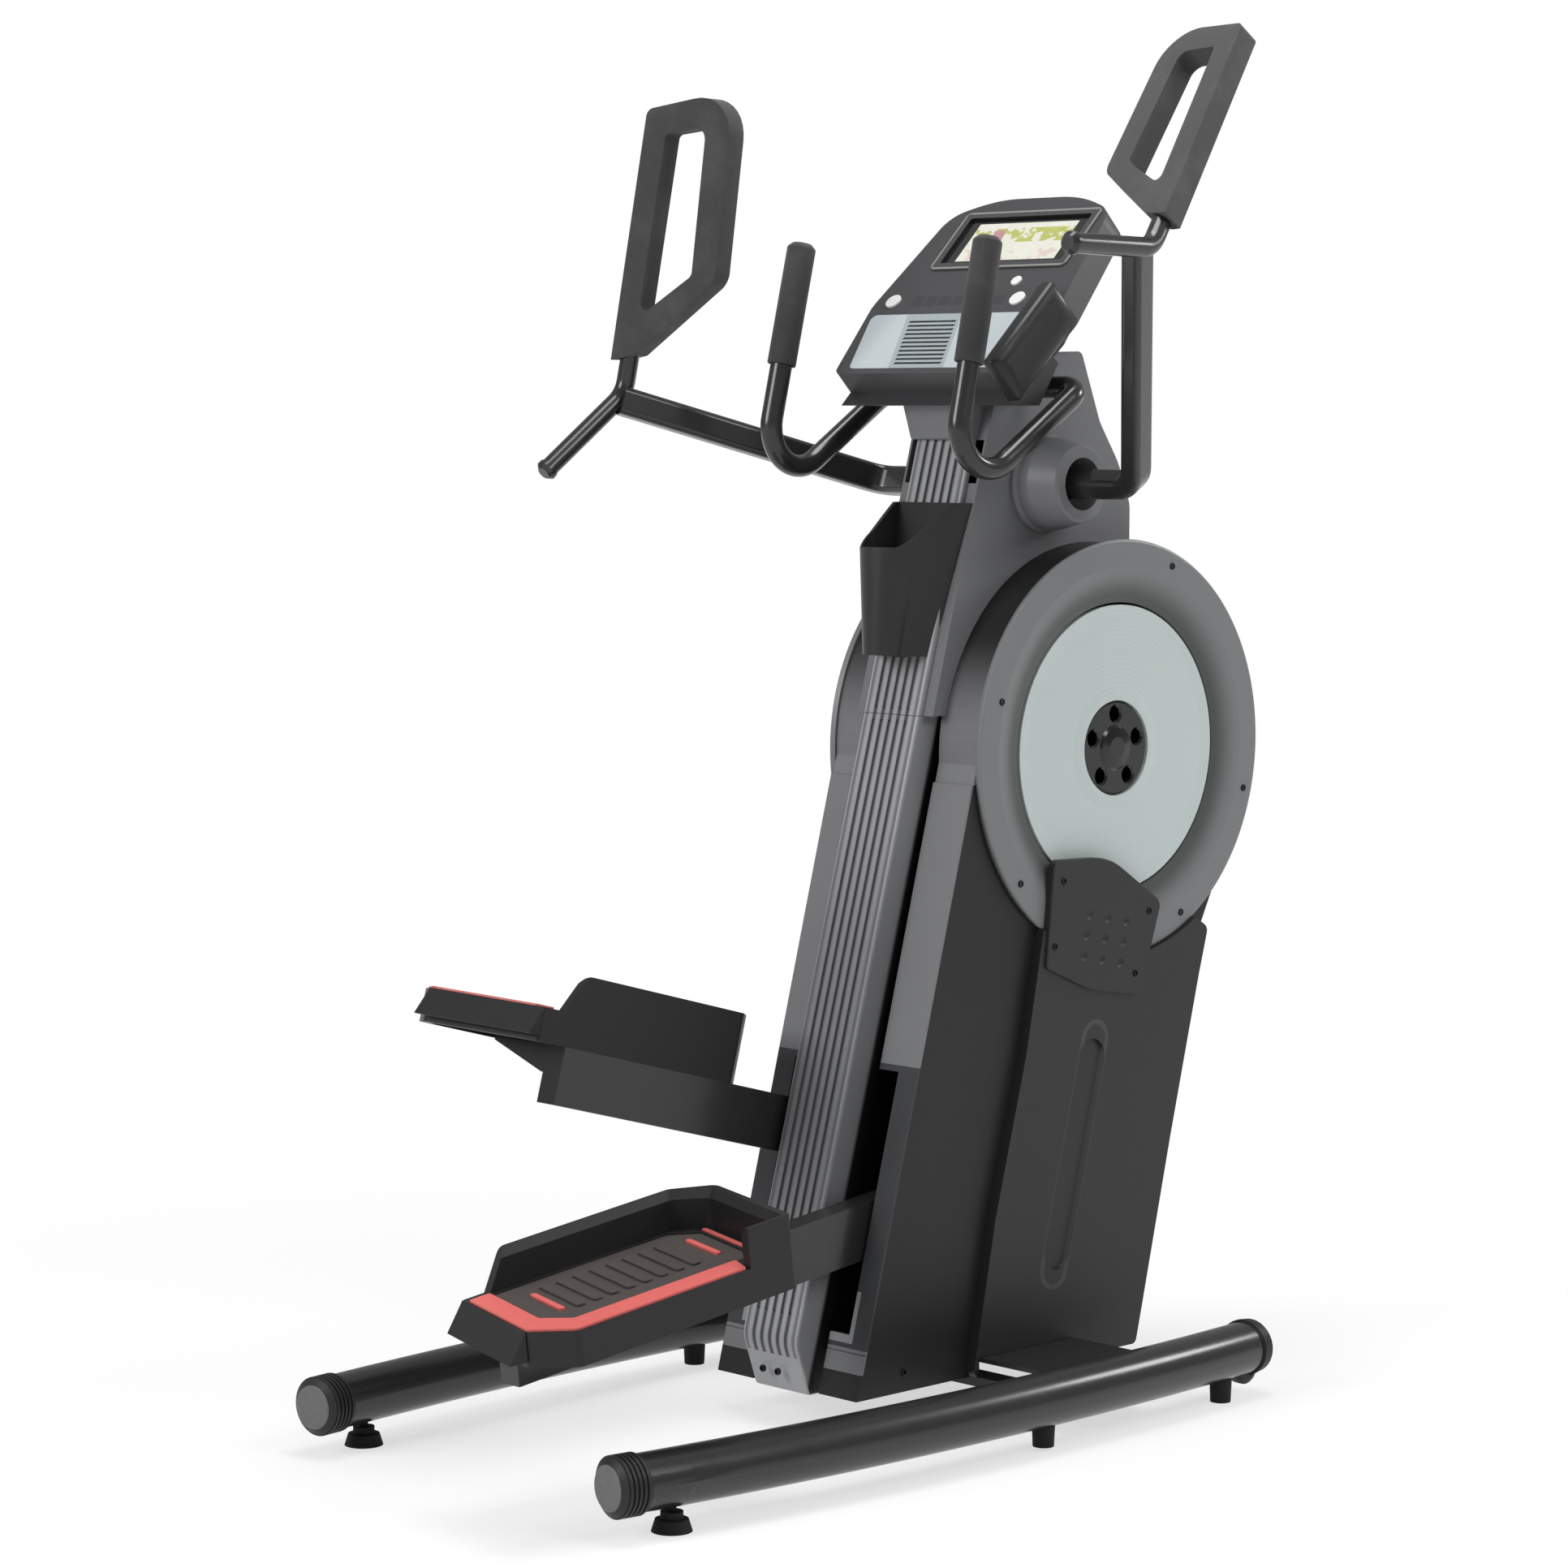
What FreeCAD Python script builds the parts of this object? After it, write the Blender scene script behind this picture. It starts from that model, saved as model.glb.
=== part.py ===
import FreeCAD, Part
import math
import os

# Vertical climber machine, in millimetres. +Z is up, +Y is the front of the machine, +X is the user's right
# when facing the console. The origin is on the floor, under the middle of the whole machine.
# Lengths along Y below are counted from the pads under the middle of the floor tubes; SHIFT_Y moves the
# finished machine so that its origin lies under the middle of its outline.

V = FreeCAD.Vector
PARTS = "parts"
SHIFT_Y = 89.9

# ---- driving dimensions ------------------------------------------------------------------------------
LEAN = math.radians(15.4)          # lean of the tower, forward from the vertical
TAN_LEAN = math.tan(LEAN)

TUBE_R = 38.0                      # floor tubes
TUBE_Z = 70.0
TUBE_HALF_SPREAD = 355.0
TUBE_WIDEST_Y = -25.0
TUBE_BOW_R = 5256.0
TUBE_REAR_Y = -718.0
TUBE_FRONT_Y = 453.0
CAP_LENGTH = 45.0
FOOT_Y = -663.0
PAD_MIDDLE_Y = 0.0
PAD_FRONT_Y = 400.0
FRONT_COLLAR = 22.0                # straight part of the front cap, before its dome
FRONT_DOME_R = 46.0
WHEEL_R = 27.0                     # transport wheels in the front caps
WHEEL_HALF = 10.0
WHEEL_Y = 455.0
WHEEL_Z = 44.0
WHEEL_PIN_R = 4.0

MAST_HALF = 55.5                   # ribbed mast
MAST_REAR_Y = -187.0               # rear face of the mast at the height MAST_REF_Z
MAST_REF_Z = 127.0
MAST_BOTTOM_Z = 50.0
TOWER_BOTTOM = 54.0                # lower edge of the housings, strips and leg covers
BASE_TOP = 84.0                    # top of the base plate, which carries the works inside the tower
PLATE_BOTTOM = 78.0
PLATE_IN = 136.5                   # half width of the plate inside the tower
PLATE_WING_Y = (80.0, 278.0)       # where the plate reaches out to the floor tubes
KEEL_HALF = 40.0                   # box beam under the plate, back to the foot of the spine
KEEL_REAR_Y = -130.0
BAR_BOTTOM = 40.0                  # two flat cross bars from tube to tube
BAR_REAR_Y = (84.0, 124.0)
BAR_FRONT_Y = (236.0, 276.0)
MAST_SEAM_Z = 1000.0
MAST_TOP_Z = 1392.0
MAST_DEPTH = 100.0
SHELL = 4.0
SPINE_HALF = 40.0                  # steel upright inside the mast
SPINE_DEPTH = 60.0
SPINE_WALL = 3.0
SPINE_BOTTOM_Z = 127.0
SPINE_TOP_Z = 1425.0

WHEEL_AXIS_Y = 385.0               # axle of the two big discs
WHEEL_AXIS_Z = 942.0
RING_R = 306.0
RING_FLAT_R = 262.0
RING_BORE_R = 213.0
DISC_R = 210.0
AXLE_R = 12.5
HOUSING_IN = 66.0
HOUSING_OUT = 141.0
RING_FACE = 151.0
LEG_FACE = 158.0
DRUM_R = 300.0
FLYWHEEL_R = 190.0
FLYWHEEL_ROOM_R = 198.0            # space kept clear round the flywheel between the drums

PIVOT_Y = 292.0                    # pivot of the upper-body arms
PIVOT_Z = 1329.0
SHROUD_HALF = 75.0
BOSS_OUT = 152.0
ARM_CORNER_X = 253.0
ARM_SPREAD = math.radians(39.35)   # angle between the two arms as they stand

CARRIAGE_MID_Y = 204.5             # lever carriages: middle of their stroke, height, place at rest
CARRIAGE_Z = 312.0
CARRIAGE_REST = 98.5
CARRIAGE_STROKE = 110.0
LEVER_IN = 64.0
LEVER_OUT = 100.0
LEVER_TOP = 36.0                   # upper and lower faces of the lever, from its pin
LEVER_LOW = -44.0
LEVER_LENGTH = 852.0
LEVER_REST = {1: math.radians(7.2), -1: math.radians(-15.1)}
PIN_R = 10.0
RACK_OUT = 63.0
RUN = 0.06                         # radial running clearance

GEAR_MODULE = 4.0
GEAR_TEETH = 26
BACKLASH = 0.7                     # total, along the pitch line, split between wheel and rack
PINION_SHAFT_R = 10.0
DRIVE_Z = 470.0                    # cross shaft of the clutch box, above the pinion

CONSOLE_Y = 106.0                  # lower edge of the sloping console face
CONSOLE_Z = 1490.0
CONSOLE_SLOPE = math.radians(45.0)
CONSOLE_DEPTH = 76.0
NECK_Z = 1441.0                    # joint between the head casing's neck and the console
NECK_HALF = 58.0

SIDES = {"right": 1, "left": -1}
X = V(1, 0, 0)
Y = V(0, 1, 0)
Z = V(0, 0, 1)


# ---- small helpers -------------------------------------------------------------------------------------
def box(x0, x1, y0, y1, z0, z1):
    return Part.makeBox(x1 - x0, y1 - y0, z1 - z0, V(x0, y0, z0))


def cylinder(start, end, radius):
    axis = end - start
    return Part.makeCylinder(radius, axis.Length, start, axis)


def tube(start, end, radius, bore):
    return cylinder(start, end, radius).cut(cylinder(start, end, bore))


def fuse(shapes):
    whole = shapes[0]
    for shape in shapes[1:]:
        whole = whole.fuse(shape)
    return whole.removeSplitter()


def group(shapes):
    return Part.makeCompound(shapes)


def mirrored(shape):
    return shape.mirror(V(0, 0, 0), X)


def pair(shape):
    return group([shape, mirrored(shape)])


def on_side(shape, sign):
    """The right-hand shape, or its mirror image on the left."""
    return shape if sign > 0 else mirrored(shape)


def turned(shape, centre, axis, angle):
    copy = shape.copy()
    copy.rotate(centre, axis, math.degrees(angle))
    return copy


def moved(shape, dx, dy, dz):
    copy = shape.copy()
    copy.translate(V(dx, dy, dz))
    return copy


def rounded_wire(points, radii):
    """A closed wire through the points, with an arc of the given radius at each corner."""
    edges = []
    count = len(points)
    ends = []
    for i in range(count):
        here = points[i]
        before = (points[i - 1] - here).normalize()
        after = (points[(i + 1) % count] - here).normalize()
        radius = radii[i] if isinstance(radii, (list, tuple)) else radii
        turn = before.getAngle(after)
        if radius <= 0 or turn > math.pi - 1e-4:
            ends.append((here, here, None))
            continue
        reach = radius / math.tan(turn / 2)
        middle_dir = (before + after).normalize()
        centre = here + middle_dir * (radius / math.sin(turn / 2))
        middle = centre - middle_dir * radius
        ends.append((here + before * reach, here + after * reach, middle))
    for i in range(count):
        start, end, middle = ends[i]
        run = points[(i + 1) % count] - points[i]
        used = (end - points[i]).Length + (points[(i + 1) % count] - ends[(i + 1) % count][0]).Length
        assert used <= run.Length + 1e-6, "corner radii too large"
        if middle is not None:
            edges.append(Part.Arc(start, middle, end).toShape())
        following = ends[(i + 1) % count][0]
        if end.distanceToPoint(following) > 1e-6:
            edges.append(Part.makeLine(end, following))
    return Part.Wire(edges)


def plate_yz(corners, radii, x0, x1):
    """A flat plate from x0 to x1, with its outline given as (y, z) corners."""
    points = [V(x0, y, z) for y, z in corners]
    face = Part.Face(rounded_wire(points, radii))
    return face.extrude(V(x1 - x0, 0, 0))


def plate_xy(corners, radii, z0, z1):
    points = [V(x, y, z0) for x, y in corners]
    face = Part.Face(rounded_wire(points, radii))
    return face.extrude(V(0, 0, z1 - z0))


def turned_about_x(profile, y, z):
    """A solid of revolution about the X line through (y, z), from (x, radius) points."""
    points = [V(x, y, z + r) for x, r in profile]
    points.append(points[0])
    face = Part.Face(Part.makePolygon(points))
    return face.revolve(V(0, y, z), X, 360)


def bent_path(points, bend_radii):
    """An open wire of straight runs joined by tangent arcs."""
    edges = []
    start = points[0]
    for i in range(1, len(points) - 1):
        here = points[i]
        back = (points[i - 1] - here).normalize()
        ahead = (points[i + 1] - here).normalize()
        turn = back.getAngle(ahead)
        radius = bend_radii[i - 1] if isinstance(bend_radii, (list, tuple)) else bend_radii
        reach = radius / math.tan(turn / 2)
        middle_dir = (back + ahead).normalize()
        centre = here + middle_dir * (radius / math.sin(turn / 2))
        first = here + back * reach
        last = here + ahead * reach
        edges.append(Part.makeLine(start, first))
        edges.append(Part.Arc(first, centre - middle_dir * radius, last).toShape())
        start = last
    edges.append(Part.makeLine(start, points[-1]))
    return Part.Wire(edges)


def round_bar(points, bend_radii, radius):
    path = bent_path(points, bend_radii)
    start = points[0]
    direction = points[1] - points[0]
    profile = Part.Wire(Part.makeCircle(radius, start, direction))
    return path.makePipeShell([profile], True, False)


def mast_y(z):
    """Y of the mast's rear face at a height."""
    return MAST_REAR_Y + TAN_LEAN * (z - MAST_REF_Z)


# ---- base ------------------------------------------------------------------------------------------------
def tube_x(y):
    """X of the right floor tube's centre line."""
    offset = y - TUBE_WIDEST_Y
    return TUBE_HALF_SPREAD - TUBE_BOW_R + math.sqrt(TUBE_BOW_R ** 2 - offset ** 2)


def tube_direction(y):
    offset = y - TUBE_WIDEST_Y
    return V(-offset, math.sqrt(TUBE_BOW_R ** 2 - offset ** 2), 0).normalize()


def tube_arc(y0, y1, radius, bore=0.0):
    """A stretch of the bowed floor tube, solid or with a bore."""
    middle_y = (y0 + y1) / 2
    start, middle, end = [V(tube_x(y), y, TUBE_Z) for y in (y0, middle_y, y1)]
    path = Part.Wire(Part.Arc(start, middle, end).toShape())
    solids = [path.makePipeShell([Part.Wire(Part.makeCircle(r, start, tube_direction(y0)))], True, False)
              for r in (radius, bore) if r > 0]
    return solids[0].cut(solids[1]) if bore > 0 else solids[0]


def rear_cap():
    """Collar with ribs and a domed face over the rear end of a floor tube."""
    start = V(tube_x(TUBE_REAR_Y), TUBE_REAR_Y, TUBE_Z)
    back = tube_direction(TUBE_REAR_Y) * -1
    shapes = [cylinder(start, start + back * (CAP_LENGTH - 8), TUBE_R + 1)]
    shapes += [cylinder(start + back * (4 + 7 * i), start + back * (7.5 + 7 * i), TUBE_R + 3.2)
               for i in range(5)]
    shapes.append(Part.makeCone(TUBE_R + 1, TUBE_R - 9, 8, start + back * (CAP_LENGTH - 8), back))
    return fuse(shapes)


def wheel_room():
    """Slot round the transport wheel, open below."""
    x = tube_x(WHEEL_Y)
    half = WHEEL_HALF + 1.5
    reach = WHEEL_R + 2
    return box(x - half, x + half, WHEEL_Y - reach, WHEEL_Y + reach, 0, WHEEL_Z + reach)


def front_cap():
    """Rounded cap at the front of a floor tube, slotted below for its transport wheel and holding the wheel's pin."""
    start = V(tube_x(TUBE_FRONT_Y), TUBE_FRONT_Y, TUBE_Z)
    ahead = tube_direction(TUBE_FRONT_Y)
    radius = TUBE_R + 1.5
    end = start + ahead * FRONT_COLLAR
    sphere_back = math.sqrt(FRONT_DOME_R ** 2 - radius ** 2)
    dome = Part.makeSphere(FRONT_DOME_R, end - ahead * sphere_back)
    dome = dome.common(cylinder(end, end + ahead * FRONT_DOME_R, radius + 10))
    bead = cylinder(start + ahead * 3, start + ahead * 9, radius + 1.5)
    whole = fuse([cylinder(start, end, radius), bead, dome]).cut(wheel_room())
    x = tube_x(WHEEL_Y)
    pin = cylinder(V(x - 17, WHEEL_Y, WHEEL_Z), V(x + 17, WHEEL_Y, WHEEL_Z), WHEEL_PIN_R)
    return fuse([whole, pin])


def transport_wheel():
    bore = WHEEL_PIN_R + RUN
    half = WHEEL_HALF
    rim = turned_about_x([(-half, bore), (-half, 20), (2 - half, 24), (4 - half, WHEEL_R), (half - 4, WHEEL_R),
                          (half - 2, 24), (half, 20), (half, bore)], WHEEL_Y, WHEEL_Z)
    return moved(rim, tube_x(WHEEL_Y), 0, 0)


def levelling_foot():
    """Cup on a screw that goes up into the floor tube."""
    x = tube_x(FOOT_Y)
    centre = V(x, FOOT_Y, 0)
    cup = Part.makeCone(27, 22, 16, centre, Z)
    knob = Part.makeCylinder(15, 10, centre + V(0, 0, 16), Z)
    screw = Part.makeCylinder(6, 44, centre + V(0, 0, 26), Z)
    return fuse([cup, knob, screw])


def pad(y, floor_gap):
    """Rubber block under a floor tube."""
    x = tube_x(y)
    block = Part.makeCone(15, 18, TUBE_Z - floor_gap, V(x, y, floor_gap), Z)
    return block.cut(tube_arc(y - 40, y + 40, TUBE_R))


def base_tube():
    pipe = tube_arc(TUBE_REAR_Y, TUBE_FRONT_Y, TUBE_R, TUBE_R - 3)
    x = tube_x(FOOT_Y)
    nut = Part.makeCylinder(12, 24, V(x, FOOT_Y, 30), Z)
    nut = nut.cut(Part.makeCylinder(6 + RUN, 60, V(x, FOOT_Y, 0), Z))
    bore = Part.makeCylinder(6 + RUN, 60, V(x, FOOT_Y, 0), Z)
    return fuse([pipe, nut.common(tube_arc(FOOT_Y - 40, FOOT_Y + 40, TUBE_R))]).cut(bore).cut(wheel_room())


def both_tubes(radius):
    right = tube_arc(TUBE_REAR_Y / 2, TUBE_FRONT_Y, radius)
    return [right, mirrored(right)]


def cross_bar(y0, y1):
    """Flat bar between the two floor tubes, its ends cut to their curve."""
    bar = box(-TUBE_HALF_SPREAD, TUBE_HALF_SPREAD, y0, y1, BAR_BOTTOM, TOWER_BOTTOM)
    for solid in both_tubes(TUBE_R):
        bar = bar.cut(solid)
    return max(bar.Solids, key=lambda piece: piece.Volume)


def base_plate():
    """Plate inside the foot of the tower with a wing out to each floor tube, on a box beam; pinion bearing on top."""
    wing = TUBE_HALF_SPREAD - 20
    rear, front = PLATE_WING_Y
    right = [(wing, rear), (wing, front), (PLATE_IN, front), (PLATE_IN, 380), (110, 410)]
    left = [(-x, y) for x, y in reversed(right)]
    outline = right + left + [(-PLATE_IN, rear), (-PLATE_IN, -60), (PLATE_IN, -60), (PLATE_IN, rear)]
    plate = plate_xy(outline, 0, PLATE_BOTTOM, BASE_TOP)
    for solid in both_tubes(TUBE_R):
        plate = plate.cut(solid)
    plate = max(plate.Solids, key=lambda piece: piece.Volume)
    keel = box(-KEEL_HALF, KEEL_HALF, KEEL_REAR_Y, front, TOWER_BOTTOM, PLATE_BOTTOM)
    block = Part.makeCone(34, 22, 40, V(0, CARRIAGE_MID_Y, BASE_TOP), Z)
    bore = Part.makeCylinder(PINION_SHAFT_R + RUN, 60, V(0, CARRIAGE_MID_Y, BASE_TOP + 17.5), Z)
    return fuse([plate, keel, block]).cut(bore)


def plate_gap(x0, x1):
    """Room for the base plate's wing where it passes through the wall of the tower."""
    rear, front = PLATE_WING_Y
    return box(x0, x1, rear - 0.5, front + 0.5, 0, BASE_TOP + 0.5)


# ---- mast and spine --------------------------------------------------------------------------------------
def mast_outline(z0, z1, depth0, depth1):
    return [(mast_y(z0) + depth0, z0), (mast_y(z1) + depth0, z1), (mast_y(z1) + depth1, z1),
            (mast_y(z0) + depth1, z0)]


def mast_grooves(z0, z1):
    """Five upright grooves, which leave six ribs."""
    grooves = []
    for i in range(5):
        x = (i - 2) * 16.0
        grooves.append(plate_yz(mast_outline(z0, z1, -5, 4), 0, x - 3.2, x + 3.2))
    return grooves


def mast_lower():
    """U-shaped shell round the spine, with a curved toe at its foot."""
    toe = [(-160, MAST_BOTTOM_Z), (MAST_REAR_Y, MAST_REF_Z), (mast_y(MAST_SEAM_Z), MAST_SEAM_Z),
           (mast_y(MAST_SEAM_Z) + MAST_DEPTH, MAST_SEAM_Z), (mast_y(MAST_REF_Z) + MAST_DEPTH, MAST_REF_Z),
           (-100, MAST_BOTTOM_Z)]
    outer = plate_yz(toe, [6, 40, 0, 0, 0, 0], -MAST_HALF, MAST_HALF)
    edges = [e for e in outer.Edges if abs(abs(e.CenterOfMass.x) - MAST_HALF) < 0.1
             and abs(e.CenterOfMass.y - mast_y(e.CenterOfMass.z)) < 0.6 and e.Length > 400]
    outer = outer.makeFillet(5, edges)
    above = MAST_SEAM_Z + 20
    cavity = [(-151, 40), (-151, 60), (mast_y(MAST_REF_Z) + 9, MAST_REF_Z), (mast_y(above) + 9, above),
              (mast_y(above) + 160, above), (mast_y(MAST_REF_Z) + 160, MAST_REF_Z),
              (-40, 60), (-40, 40)]
    shell = outer.cut(plate_yz(cavity, 0, -SPINE_HALF - 6, SPINE_HALF + 6))
    for groove in mast_grooves(165, MAST_SEAM_Z - 8):
        shell = shell.cut(groove)
    return shell


def mast_upper():
    """Ribbed strip up the rear of the head."""
    strip = plate_yz(mast_outline(MAST_SEAM_Z, MAST_TOP_Z, 0, 9), 0, -MAST_HALF, MAST_HALF)
    edges = [e for e in strip.Edges if abs(abs(e.CenterOfMass.x) - MAST_HALF) < 0.1
             and abs(e.CenterOfMass.y - mast_y(e.CenterOfMass.z)) < 0.6 and e.Length > 300]
    strip = strip.makeFillet(4, edges)
    for groove in mast_grooves(MAST_SEAM_Z + 8, MAST_TOP_Z + 5):
        strip = strip.cut(groove)
    return strip


def spine():
    """Rectangular steel tube that carries everything above the base, with a foot on the keel."""
    rear = 9.0
    outer = plate_yz(mast_outline(SPINE_BOTTOM_Z, SPINE_TOP_Z, rear, rear + SPINE_DEPTH), 0,
                     -SPINE_HALF, SPINE_HALF)
    foot = plate_yz([(KEEL_REAR_Y, PLATE_BOTTOM), (mast_y(SPINE_BOTTOM_Z) + rear, SPINE_BOTTOM_Z),
                     (mast_y(SPINE_BOTTOM_Z) + rear + SPINE_DEPTH, SPINE_BOTTOM_Z),
                     (KEEL_REAR_Y + SPINE_DEPTH - 5, PLATE_BOTTOM)], 0, -SPINE_HALF, SPINE_HALF)
    inner = plate_yz(mast_outline(SPINE_BOTTOM_Z + 3, SPINE_TOP_Z + 5, rear + SPINE_WALL,
                                  rear + SPINE_DEPTH - SPINE_WALL), 0,
                     -SPINE_HALF + SPINE_WALL, SPINE_HALF - SPINE_WALL)
    return fuse([outer, foot]).cut(inner)


def drum_zone(x0, x1, radius):
    return cylinder(V(x0, WHEEL_AXIS_Y, WHEEL_AXIS_Z), V(x1, WHEEL_AXIS_Y, WHEEL_AXIS_Z), radius)


def shroud_solid(half, neck_half, inset):
    """Head casing as a solid: full width above the drums, narrower where it goes down between them."""
    i = inset
    outline = [(mast_y(MAST_SEAM_Z - 4 * i) + 9, MAST_SEAM_Z - 4 * i), (mast_y(MAST_TOP_Z) + 9, MAST_TOP_Z),
               (186 + i, NECK_Z - i), (225 + i, 1501 - i), (372 - i, 1522 - i), (414 - i, 1418),
               (456 - i, 1358), (482 - i, 1297), (482 - i, 1235), (440 - i, MAST_SEAM_Z - 4 * i)]
    solid = plate_yz(outline, [0, 0, 0, 0, 12, 60, 120, 40, 60, 0], -half, half)
    for sign in (-1, 1):
        solid = solid.cut(drum_zone(sign * neck_half, sign * (half + 5), DRUM_R + 0.4 + inset))
    return solid


def head_shroud():
    """Hollow central casing from between the drums up to the console, with holes for the arm shafts."""
    shell = shroud_solid(SHROUD_HALF, HOUSING_IN - 0.4, 0)
    shell = shell.cut(shroud_solid(SHROUD_HALF - SHELL, HOUSING_IN - 0.4 - SHELL, SHELL))
    spine_room = mast_outline(MAST_SEAM_Z, SPINE_TOP_Z + 1, 8.5, 9 + SPINE_DEPTH + 1)
    shell = shell.cut(plate_yz(spine_room, 0, -SPINE_HALF - 0.5, SPINE_HALF + 0.5))
    shell = shell.cut(drum_zone(-HOUSING_IN, HOUSING_IN, FLYWHEEL_ROOM_R))
    for sign in (-1, 1):
        lip = plate_yz(mast_outline(MAST_SEAM_Z, 1330, 9, 14), 0, *sorted((sign * (MAST_HALF + 0.2), sign * 72)))
        shell = shell.fuse(lip)
    shaft_hole = cylinder(V(-100, PIVOT_Y, PIVOT_Z), V(100, PIVOT_Y, PIVOT_Z), 31)
    neck = [(mast_y(MAST_TOP_Z) - 9, MAST_TOP_Z), (136, NECK_Z), (186, NECK_Z),
            (mast_y(MAST_TOP_Z) + 9, MAST_TOP_Z)]
    collar = plate_yz(neck, [6, 0, 0, 0], -NECK_HALF, NECK_HALF)
    collar = collar.cut(plate_yz(mast_outline(MAST_TOP_Z - 5, SPINE_TOP_Z + 1, 8.5, 90), 0,
                                 -SPINE_HALF - 0.5, SPINE_HALF + 0.5))
    return fuse([shell.cut(shaft_hole), collar])


# ---- side housings, rings and discs ------------------------------------------------------------------------
HOUSING_REAR = [(-138, 94), (88, 944)]          # rear line of the leg
HOUSING_FRONT = [(571, 654), (434, 118)]        # front line of the leg
SLOT_Z = (140.0, 503.0)
STRIP_SEAM_Z = 116.0


def line_y(line, z):
    (y0, z0), (y1, z1) = line
    return y0 + (y1 - y0) * (z - z0) / (z1 - z0)


def housing_solid(x0, x1, grow, bottom):
    """Drum round the disc and the leg below it, as one tadpole-shaped solid."""
    top = 950
    middle = (WHEEL_AXIS_Y + DRUM_R - 40, 800)
    outline = [(line_y(HOUSING_REAR, bottom) - grow, bottom), (line_y(HOUSING_REAR, top) - grow, top), middle,
               (line_y(HOUSING_FRONT, 660) + grow, 660), (line_y(HOUSING_FRONT, bottom) + grow, bottom)]
    return drum_zone(x0, x1, DRUM_R + grow).fuse(plate_yz(outline, 0, x0, x1)).removeSplitter()


def pedal_slot():
    return box(HOUSING_IN - 2, 104, -260, 60, SLOT_Z[0], SLOT_Z[1])


def side_housing():
    """Dark shell, open toward the middle of the machine and below, with a round window for the disc."""
    shell = housing_solid(HOUSING_IN, HOUSING_OUT, 0, TOWER_BOTTOM)
    shell = shell.cut(housing_solid(HOUSING_IN - 5, HOUSING_OUT - SHELL, -SHELL, TOWER_BOTTOM - 20))
    shell = shell.cut(drum_zone(120, 160, RING_BORE_R + 10)).cut(pedal_slot())
    return shell.cut(plate_gap(HOUSING_IN, HOUSING_OUT + 1))


def front_cover():
    """Curved cover that closes the front of the tower between the two housings."""
    half = HOUSING_IN - 0.4
    shell = housing_solid(-half, half, 0, TOWER_BOTTOM)
    shell = shell.cut(housing_solid(-half - 5, half + 5, -SHELL, TOWER_BOTTOM - 20))
    front = shell.common(box(-half - 5, half + 5, 400, 900, 0, 1300))
    behind_shroud = plate_yz([(300, 900), (440.4, 1000), (482.4, 1235), (482.4, 1400), (300, 1400)], 0,
                             -half - 5, half + 5)
    return max(front.cut(behind_shroud).Solids, key=lambda piece: piece.Volume)


def rear_strip():
    """Light cover along the rear edge of the housing, with the slot that the pedal lever runs in."""
    top = 905
    outline = [(line_y(HOUSING_REAR, z) - depth, z)
               for z, depth in ((TOWER_BOTTOM, 4), (top, 4), (top, 0), (TOWER_BOTTOM, 0))]
    strip = plate_yz(outline, 0, HOUSING_IN, HOUSING_OUT)
    seam_y = line_y(HOUSING_REAR, STRIP_SEAM_Z)
    seam = box(0, 200, seam_y - 8, seam_y - 2, STRIP_SEAM_Z, STRIP_SEAM_Z + 2)
    return strip.cut(pedal_slot()).cut(seam)


def ring():
    """Bezel round the disc: flat face, then a dished bevel down to the window."""
    lip = HOUSING_OUT - 5
    profile = [(lip, RING_BORE_R + 9), (HOUSING_OUT, RING_BORE_R + 9), (HOUSING_OUT, RING_R - 2),
               (RING_FACE - 3, RING_R), (RING_FACE - 1, RING_R - 1), (RING_FACE, RING_R - 4),
               (RING_FACE, RING_FLAT_R + 4), (RING_FACE - 2, RING_FLAT_R - 6), (RING_FACE - 6, RING_FLAT_R - 22),
               (HOUSING_OUT + 1, RING_BORE_R + 11), (HOUSING_OUT - 2, RING_BORE_R + 1), (lip, RING_BORE_R)]
    return turned_about_x(profile, WHEEL_AXIS_Y, WHEEL_AXIS_Z)


def leg_cover():
    """Outer panel of the leg: bevelled forward of a long crease, with a long pressed recess."""
    outline = [(66, TOWER_BOTTOM), (112, 282), (174, 511), (222, 752), (350, 764), (478, 722), (574, 664),
               (554, 594), (492, 355), (434, 118), (418, TOWER_BOTTOM)]
    panel = plate_yz(outline, [14, 0, 0, 20, 0, 0, 12, 0, 0, 0, 10], HOUSING_OUT, LEG_FACE)
    panel = panel.cut(drum_zone(0, 200, RING_R + 0.5))
    low = V(LEG_FACE, 292, 48)
    high = V(LEG_FACE, 480, 740)
    along = (high - low).normalize()
    ahead = along.cross(X) * -220
    wedge = Part.Face(Part.makePolygon([low, high, high + ahead, low + ahead, low])).extrude(X * 40)
    panel = panel.cut(turned(wedge, low, along, math.radians(5.5)))
    foot = V(LEG_FACE, 236, 190)
    head = V(LEG_FACE, 322, 520)
    across = X.cross((head - foot).normalize())
    wires = []
    for half, level in ((29, 1), (21, -6)):
        ends = [foot + across * half, head + across * half, head - across * half, foot - across * half]
        wires.append(rounded_wire([p + X * level for p in ends], half - 0.5))
    return panel.cut(Part.makeLoft(wires, True, True)).cut(plate_gap(HOUSING_OUT - 1, 200))


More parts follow.
